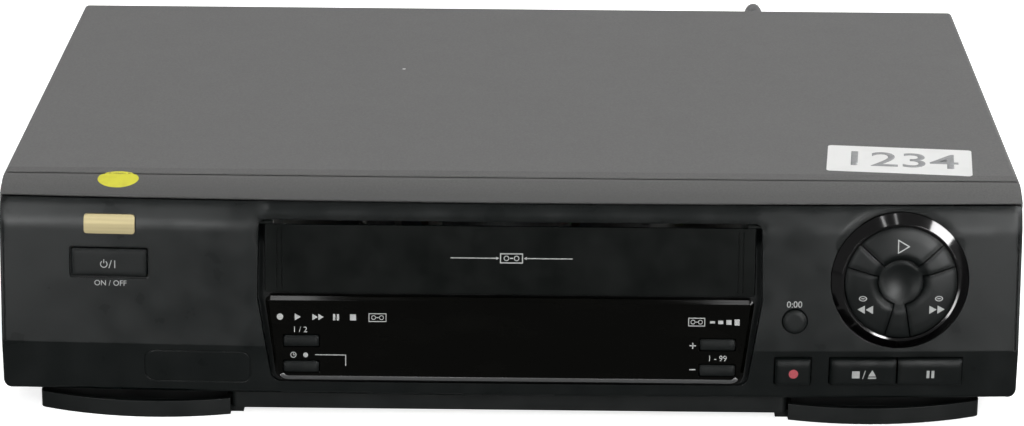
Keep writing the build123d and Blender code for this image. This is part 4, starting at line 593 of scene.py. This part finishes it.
core = finish("core_iron", (0.115, 0.10, 0.088), rough=0.45, Metallic=0.65)
plates = pattern(core, "Wave", 420, (1, 0, 0), Distortion=0.4)
soften(core, radius=0.2)
wash(core, (0.05, 0.043, 0.038), plates, span=(0.55, 0.95), most=0.8)
wash(core, (0.17, 0.11, 0.06), pattern(core, "Noise", 70, Detail=6), span=(0.5, 0.75), most=0.5)
polish(core, pattern(core, "Noise", 130, Detail=5), low=0.34, high=0.6)
relief(core, plates, depth=0.05)

glass = finish("tube_glass", (0.012, 0.022, 0.02), rough=0.08, Specular_IOR_Level=0.6,
               Coat_Weight=0.5)
wash(glass, (0.03, 0.065, 0.055), pattern(glass, "Wave", 900, (0, 0, 1)), span=(0.6, 0.9),
     most=0.5)
polish(glass, pattern(glass, "Noise", 60, Detail=5), low=0.05, high=0.14)
relief(glass, pattern(glass, "Noise", 200, Detail=2), depth=0.002)
print(len(coats), "finishes made")

# %% [markdown]
# ## Dressing the solids
#
# The record says which finish each solid takes. The solids themselves are never moved or
# reshaped: only the material in each slot is exchanged.

# %% Dress the solids
for row in frame["record"]["subparts"]:
    for holder in nodes[row["node"]].material_slots:
        holder.material = coats[row["material_slot"]]
curve.materials.append(coats["cord_vinyl"])

# %% [markdown]
# ## Printed marks
#
# The marks on the front are pad printed: a film of paint a few hundredths of a millimetre
# thick. Each one starts as a flat figure made of discs, bars and rings. Every corner of the
# figure is then dropped onto the moulding by a ray, so the ink follows its bow and lean, and the
# film is given its thickness. A real film has an even top and worn edges, which the ink's own
# finish shows. The ink rides on the key that it is printed on.

# %% Inks
ink = finish("pale_ink", (0.40, 0.41, 0.40), rough=0.5, Specular_IOR_Level=0.3)
wash(ink, (0.26, 0.27, 0.26), pattern(ink, "Noise", 2400, Detail=3), span=(0.5, 0.75), most=0.7)
relief(ink, pattern(ink, "Noise", 3000, Detail=2), depth=0.01)
red_ink = finish("red_ink", (0.46, 0.035, 0.055), rough=0.45, Specular_IOR_Level=0.3)
wash(red_ink, (0.33, 0.02, 0.035), pattern(red_ink, "Noise", 2200, Detail=3),
     span=(0.45, 0.7), most=0.6)
relief(red_ink, pattern(red_ink, "Noise", 3000, Detail=2), depth=0.01)
print("inks:", ink.name, red_ink.name)

# %% [markdown]
# A bmesh holds each figure while it is drawn, flat and in millimetres. Discs and bars are ready
# shapes. A ring is a short edge spun round its centre, which gives an arc as easily as a full
# circle, and evenly spaced corners for the film.

# %% Figures to print


def move(x, y, turn=0.0, size=(1, 1)):
    """A matrix that sizes, turns and places a small flat shape."""
    return (Matrix.Translation((x, y, 0)) @ Matrix.Rotation(radians(turn), 4, "Z")
            @ Matrix.Diagonal((*size, 1, 1)))


def disc(figure, x, y, radius, sides=32, size=(1, 1)):
    """A filled round, or an oval where its two sizes differ."""
    bmesh.ops.create_circle(figure, cap_ends=True, segments=sides, radius=radius,
                            matrix=move(x, y, 0, size))


def bar(figure, x, y, wide, high, turn=0.0, cuts=1):
    """A straight bar, cut across so that it can follow a bowed surface."""
    bmesh.ops.create_grid(figure, x_segments=cuts, y_segments=1, size=0.5,
                          matrix=move(x, y, turn, (wide, high)))


def hoop(figure, x, y, radius, line, start=0.0, sweep=360.0, sides=32, stretch=1.0):
    """An outline drawn by spinning a short edge round a centre."""
    inner = figure.verts.new((radius - line, 0, 0))
    outer = figure.verts.new((radius, 0, 0))
    edge = figure.edges.new((inner, outer))
    bmesh.ops.rotate(figure, verts=[inner, outer], matrix=Matrix.Rotation(radians(start), 3, "Z"))
    before = len(figure.verts)
    bmesh.ops.spin(figure, geom=[inner, outer, edge], axis=(0, 0, 1), angle=radians(sweep),
                   steps=sides, use_merge=sweep == 360.0)
    figure.verts.ensure_lookup_table()
    drawn = {inner, outer} | set(figure.verts[before:])
    bmesh.ops.transform(figure, verts=list(drawn), matrix=move(x, y, 0, (stretch, 1)))


print("figures: disc, bar, hoop")

# %% [markdown]
# Arrow heads are circles of three sides. Where only an outline is printed, the face is inset by
# the width of the line and its middle deleted.

# %% Arrow heads


def hollow(figure, made, line):
    """Turns one flat face into its own outline: a band is inset, and the middle goes."""
    face = made["verts"][0].link_faces[0]
    bmesh.ops.inset_region(figure, faces=[face], thickness=line, use_boundary=True,
                           use_even_offset=True)
    bmesh.ops.delete(figure, geom=[face], context="FACES")


def triangle(figure, x, y, radius, turn, line=0.0):
    """An arrow head that points up before its turn, filled or drawn as an outline."""
    whole = bmesh.ops.create_circle(figure, cap_ends=True, segments=3, radius=radius,
                                    matrix=move(x, y, turn))
    if line:
        hollow(figure, whole, line)


print("figures: hollow, triangle")

# %% [markdown]
# Words are typed as a text object in Blender's own plain face, turned into a mesh, and added to
# the figure. The sign for a cassette is a hollow bar with two hoops for its reels.

# %% Words and the cassette sign


def words(figure, text, x, y, high, weight=0.0):
    """Plain words or figures as high as given, centred on a point."""
    capital = 0.72
    line = bpy.data.curves.new("line", "FONT")
    line.body = text
    line.size = high / capital
    line.offset = weight * high
    line.align_x, line.align_y = "CENTER", "CENTER"
    line.resolution_u = 4
    setter = bpy.data.objects.new("line", line)
    flat = bpy.data.meshes.new_from_object(setter)
    flat.transform(Matrix.Translation((x, y, 0)))
    figure.from_mesh(flat)
    bpy.data.objects.remove(setter)
    bpy.data.meshes.remove(flat)


def cassette(figure, x, y, wide, high, line):
    """A cassette seen from above: its outline and two reels."""
    whole = bmesh.ops.create_grid(figure, x_segments=1, y_segments=1, size=0.5,
                                  matrix=move(x, y, 0, (wide, high)))
    hollow(figure, whole, line)
    reel_place, reel_radius, tape = wide * 0.22, high * 0.27, wide * 0.14
    for side in (-1, 1):
        hoop(figure, x + side * reel_place, y, reel_radius, line * 0.8, sides=20)
    bar(figure, x, y, tape, line)


print("figures: words, cassette")

# %% [markdown]
# The film follows a bowed surface only where it has corners, so the figure is first cut into
# triangles and its long edges are divided. A ray then finds the surface under each corner.
# BVHTree is the search tree that Blender itself uses for such questions. For the front the ray
# runs straight back, and for the top straight down, from half a metre away. Corners that land
# in one place are welded. Last, the film is extruded to its thickness.

# %% Laying a film on a surface
graph = bpy.context.evaluated_depsgraph_get()
solids = {}
clear_of_machine = 0.5
welded = 1e-7


def film(name, figure, body, carrier, made, from_above=False, lift=0.02, thick=0.04, finest=1.2):
    """Drops a flat figure, drawn in millimetres, onto a solid and gives it its thickness."""
    if carrier not in solids:
        solids[carrier] = BVHTree.FromObject(nodes[carrier], graph)
    way = Vector((0, 0, -1)) if from_above else Vector((0, 1, 0))
    bmesh.ops.triangulate(figure, faces=figure.faces[:])
    long_edges = [edge for edge in figure.edges if edge.calc_length() > finest]
    bmesh.ops.subdivide_edges(figure, edges=long_edges, cuts=2, use_grid_fill=True)
    for corner in figure.verts:
        u, v = corner.co.x * MM, corner.co.y * MM
        start = Vector((u, v, 0) if from_above else (u, 0, v)) - way * clear_of_machine
        landed = solids[carrier].ray_cast(start, way)[0]
        corner.co = landed - way * lift * MM
    bmesh.ops.remove_doubles(figure, verts=figure.verts[:], dist=welded)
    raised = bmesh.ops.extrude_face_region(figure, geom=figure.faces[:])["geom"]
    tops = [piece for piece in raised if isinstance(piece, bmesh.types.BMVert)]
    bmesh.ops.translate(figure, verts=tops, vec=-way * thick * MM)
    bmesh.ops.recalc_face_normals(figure, faces=figure.faces[:])
    mesh = bpy.data.meshes.new(name)
    figure.to_mesh(mesh)
    figure.free()
    mesh.materials.append(made)
    piece = bpy.data.objects.new(name, mesh)
    bpy.context.scene.collection.objects.link(piece)
    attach(piece, body)
    print(name, "on", carrier, "has", len(mesh.polygons), "faces")
    return piece


print("film: rays start", clear_of_machine, "m away")

# %% [markdown]
# The power key carries the pictogram for standby, and below it stand two plain words. On the
# round pad each key has its arrow. The pictograms are the ones that any recorder has.

# %% Marks on the keys
power_x, power_z = -158.9, 62.6
figure = bmesh.new()
hoop(figure, power_x, power_z, 1.45, 0.32, start=125, sweep=290, sides=28)
bar(figure, power_x, power_z + 1.1, 0.34, 1.5)
bar(figure, power_x + 2.5, power_z, 0.3, 3.3, turn=-18)
bar(figure, power_x + 4.3, power_z, 0.36, 3.0)
film("power_mark", figure, "power_button", "power_button", ink)

figure = bmesh.new()
words(figure, "ON / OFF", -156.5, 54.9, high=2.2)
film("power_words", figure, "cabinet", "front_panel", ink)

figure = bmesh.new()
triangle(figure, 152.4, 74.0, 3.2, turn=-90, line=0.38)
film("play_mark", figure, "play_button", "play_button", ink)

arrows_z, sign_z = 49.1, 53.5
for side, key, middle in ((-1, "rewind", 139.2), (1, "fast_forward", 166.3)):
    sign_x = middle + side * 1.3 - 0.2
    figure = bmesh.new()
    for step in (-1, 1):
        triangle(figure, middle + step * 1.6, arrows_z, 1.9, turn=-90 * side)
    hoop(figure, sign_x, sign_z, 1.05, 0.28, sides=24, stretch=1.5)
    bar(figure, sign_x, sign_z, 1.3, 0.34)
    film(key + "_mark", figure, key + "_button", key + "_button", ink)

# %% [markdown]
# The three keys in the bottom row have the signs for record, which is red, for stop and eject,
# and for pause. The display key shows a clock's figures.

# %% Marks on the lower keys and the display key
figure = bmesh.new()
disc(figure, 111.5, 22.6, 1.85)
film("record_mark", figure, "record_button", "record_button", red_ink)

stroke_x, stroke_z = 139.2, 22.3
figure = bmesh.new()
bar(figure, stroke_x - 3.2, stroke_z, 3.0, 3.0)
bar(figure, stroke_x, stroke_z, 0.34, 3.6, turn=-16)
triangle(figure, stroke_x + 3.2, stroke_z + 0.2, 1.75, turn=0)
bar(figure, stroke_x + 3.2, stroke_z - 1.4, 3.2, 0.6)
film("stop_eject_mark", figure, "stop_eject_button", "stop_eject_button", ink)

figure = bmesh.new()
for side in (-1, 1):
    bar(figure, 165.3 + side * 0.95, 22.4, 1.1, 3.1)
film("pause_mark", figure, "pause_button", "pause_button", ink)

figure = bmesh.new()
words(figure, "0:00", 111.4, 49.5, high=2.6)
film("display_mark", figure, "cabinet", "front_panel", ink)

# %% [markdown]
# The flap shows which way a cassette goes in: a small cassette between two guide lines. The
# left of the window has a row of indicator marks, the two tape speeds, and a clock for the
# timer with a line that leads to its lamp.

# %% Marks on the flap and the left of the window
flap_x, flap_z = 0.6, 66.8
figure = bmesh.new()
cassette(figure, flap_x, flap_z, 9.0, 4.0, 0.42)
for side in (-1, 1):
    bar(figure, flap_x + side * 14.8, flap_z, 18.0, 0.36, cuts=10)
    triangle(figure, flap_x + side * 5.6, flap_z, 0.75, turn=90 * side)
film("flap_mark", figure, "cassette_door", "cassette_door", ink)

lamps_z = 43.5
clock_x, clock_z = -84.6, 28.4
figure = bmesh.new()
disc(figure, -89.8, lamps_z, 1.25)
triangle(figure, -83.2, lamps_z, 1.6, turn=-90)
for step in range(2):
    triangle(figure, -76.4 + 2.3 * step, lamps_z, 1.45, turn=-90)
    bar(figure, -68.6 + 1.5 * step, lamps_z, 0.85, 2.5)
bar(figure, -61.2, lamps_z, 2.4, 2.4)
cassette(figure, -51.6, lamps_z, 7.0, 3.4, 0.32)
words(figure, "1 / 2", -82.0, 38.4, high=2.3)
hoop(figure, clock_x, clock_z, 1.2, 0.3, sides=24)
bar(figure, clock_x, clock_z + 0.35, 0.28, 0.85)
bar(figure, clock_x + 0.3, clock_z - 0.05, 0.75, 0.28)
disc(figure, clock_x + 4.8, clock_z, 0.95)
bar(figure, clock_x + 14.5, clock_z + 0.1, 12.0, 0.34, cuts=6)
bar(figure, clock_x + 20.5, clock_z - 2.0, 0.34, 4.5)
film("window_marks_left", figure, "cabinet", "display_window", ink)

# %% [markdown]
# The right of the window has a rising row of bars beside a cassette, and the signs of the two
# channel keys with the range that they step through.

# %% Marks on the right of the window
level_z = 43.0
channel_x, plus_z, minus_z = 71.8, 33.6, 24.1
figure = bmesh.new()
cassette(figure, 73.2, level_z, 6.6, 3.4, 0.32)
for step in range(4):
    bar(figure, 79.4 + 3.2 * step, level_z, 2.0, 0.9 + 0.5 * step)
bar(figure, channel_x, plus_z, 2.4, 0.45)
bar(figure, channel_x, plus_z, 0.45, 2.4)
bar(figure, channel_x, minus_z, 2.4, 0.45)
words(figure, "1 - 99", 81.5, 28.5, high=2.3)
film("window_marks_right", figure, "cabinet", "display_window", ink)

# %% [markdown]
# ## Lip of the window
#
# Along its lower edge the window has a raised lip with a rounded top. It is the one part of the
# window that faces the lights, and its colour is a dark grey, paler than the black around it, so
# its bright line is partly a painted highlight and partly its high shine. The lip is laid on like
# a mark, only thicker, and a Bevel modifier rounds it.

# %% Lip of the window
# Partly a painted highlight: the lip's grey is paler than the black window, so its line shows
# brighter.
lip_highlight_plastic = polished("lip_highlight_plastic", (0.020, 0.021, 0.022), rough=0.3, shine=0.6)
lip_z, lip_length, lip_line, lip_corner = 19.3, 173.0, 1.75, 4.0
figure = bmesh.new()
bar(figure, 0, lip_z, lip_length, lip_line, cuts=90)
for side, start in ((-1, -150), (1, -90)):
    hoop(figure, side * lip_length / 2, lip_z - lip_line / 2 + lip_corner, lip_corner, lip_line,
         start, sweep=60, sides=10)
lip = film("window_lip", figure, "cabinet", "display_window", lip_highlight_plastic, lift=-0.02, thick=0.5,
           finest=5)
rounding = lip.modifiers.new("rounding", "BEVEL")
rounding.width = 0.22 * MM
rounding.segments = 3
rounding.limit_method = "ANGLE"
rounding.angle_limit = radians(50)
print("lip rounded by", rounding.width / MM, "mm")

# %% [markdown]
# ## Stuck-on paper
#
# A shelf label with plain figures and a small yellow price spot are stuck on the cover. Both are
# paper under a tenth of a millimetre thick, so they are films like the marks. Paper is paler and
# rougher than paint: its fibres show as a fine bump, and handling leaves wide faint stains.

# %% Paper and the label's ink
label_paper = finish("label_paper", (0.80, 0.80, 0.79), rough=0.6, Specular_IOR_Level=0.2)
wash(label_paper, (0.70, 0.70, 0.685), pattern(label_paper, "Noise", 70, Detail=6),
     span=(0.5, 0.8), most=0.5)
relief(label_paper, pattern(label_paper, "Noise", 1300, Detail=5), depth=0.015)
label_ink = finish("label_ink", (0.235, 0.24, 0.245), rough=0.5, Specular_IOR_Level=0.3)
wash(label_ink, (0.34, 0.345, 0.35), pattern(label_ink, "Noise", 1600, Detail=4),
     span=(0.5, 0.7), most=0.6)
relief(label_ink, pattern(label_ink, "Noise", 1800, Detail=2), depth=0.008)
spot_paper = finish("spot_paper", (0.66, 0.63, 0.035), rough=0.55, Specular_IOR_Level=0.25)
wash(spot_paper, (0.55, 0.52, 0.03), pattern(spot_paper, "Noise", 300, Detail=5),
     span=(0.45, 0.75), most=0.6)
relief(spot_paper, pattern(spot_paper, "Noise", 1400, Detail=4), depth=0.012)
print("papers:", label_paper.name, spot_paper.name)

# %% [markdown]
# The label lies a few degrees off square, as a hand put it. It is a rectangle whose corners a
# die has rounded, which is what a bevel of vertices does. Its figures are a film of ink that
# lies just above the paper.

# %% Shelf label
label_turn, label_middle, label_size, label_corner = -5.6, (154.9, -88.15), (57.5, 33.0), 1.6
paper_lift, paper_thick = 0.01, 0.09
figure = bmesh.new()
bmesh.ops.create_grid(figure, x_segments=1, y_segments=1, size=0.5,
                      matrix=Matrix.Diagonal((*label_size, 1, 1)))
bmesh.ops.bevel(figure, geom=figure.verts[:], affect="VERTICES", offset=label_corner, segments=5,
                profile=0.5, material=-1)
bmesh.ops.transform(figure, verts=figure.verts[:], matrix=move(*label_middle, label_turn))
film("shelf_label", figure, "cabinet", "top_cover", label_paper, from_above=True,
     lift=paper_lift, thick=paper_thick)

figure = bmesh.new()
words(figure, "1234", 0, -0.6, high=18.5, weight=0.012)
bmesh.ops.transform(figure, verts=figure.verts[:],
                    matrix=move(*label_middle, label_turn, (0.93, 1)))
film("label_figures", figure, "cabinet", "top_cover", label_ink, from_above=True,
     lift=paper_lift + paper_thick + 0.01, thick=0.02)

# %% [markdown]
# The price spot is an oval on the sloping strip, which curves down towards the front. A disc
# made of one face has corners at its rim alone, so this one is a spoke of short edges spun into
# rings. A pale fleck, hardly wider than a millimetre, lies further back on the cover.

# %% Price spot and a pale fleck
spot_radius, rings = 8.1, 8
figure = bmesh.new()
spoke = [figure.verts.new((spot_radius * step / rings, 0, 0)) for step in range(rings + 1)]
spoke += [figure.edges.new(pair) for pair in zip(spoke, spoke[1:])]
bmesh.ops.spin(figure, geom=spoke, axis=(0, 0, 1), angle=2 * pi, steps=56, use_merge=True)
bmesh.ops.remove_doubles(figure, verts=figure.verts[:], dist=welded / MM)
bmesh.ops.transform(figure, verts=figure.verts[:], matrix=move(-154.4, -115.4, 0, (1, 0.64)))
film("price_spot", figure, "cabinet", "top_cover", spot_paper, from_above=True, lift=0.05,
     thick=0.08)

figure = bmesh.new()
disc(figure, -48.3, 33.7, 0.75, sides=9, size=(1, 0.7))
film("paint_fleck", figure, "cabinet", "top_cover", label_paper, from_above=True, lift=0,
     thick=0.05)

# %% [markdown]
# ## The end

# %% The end
print("the scene is built")
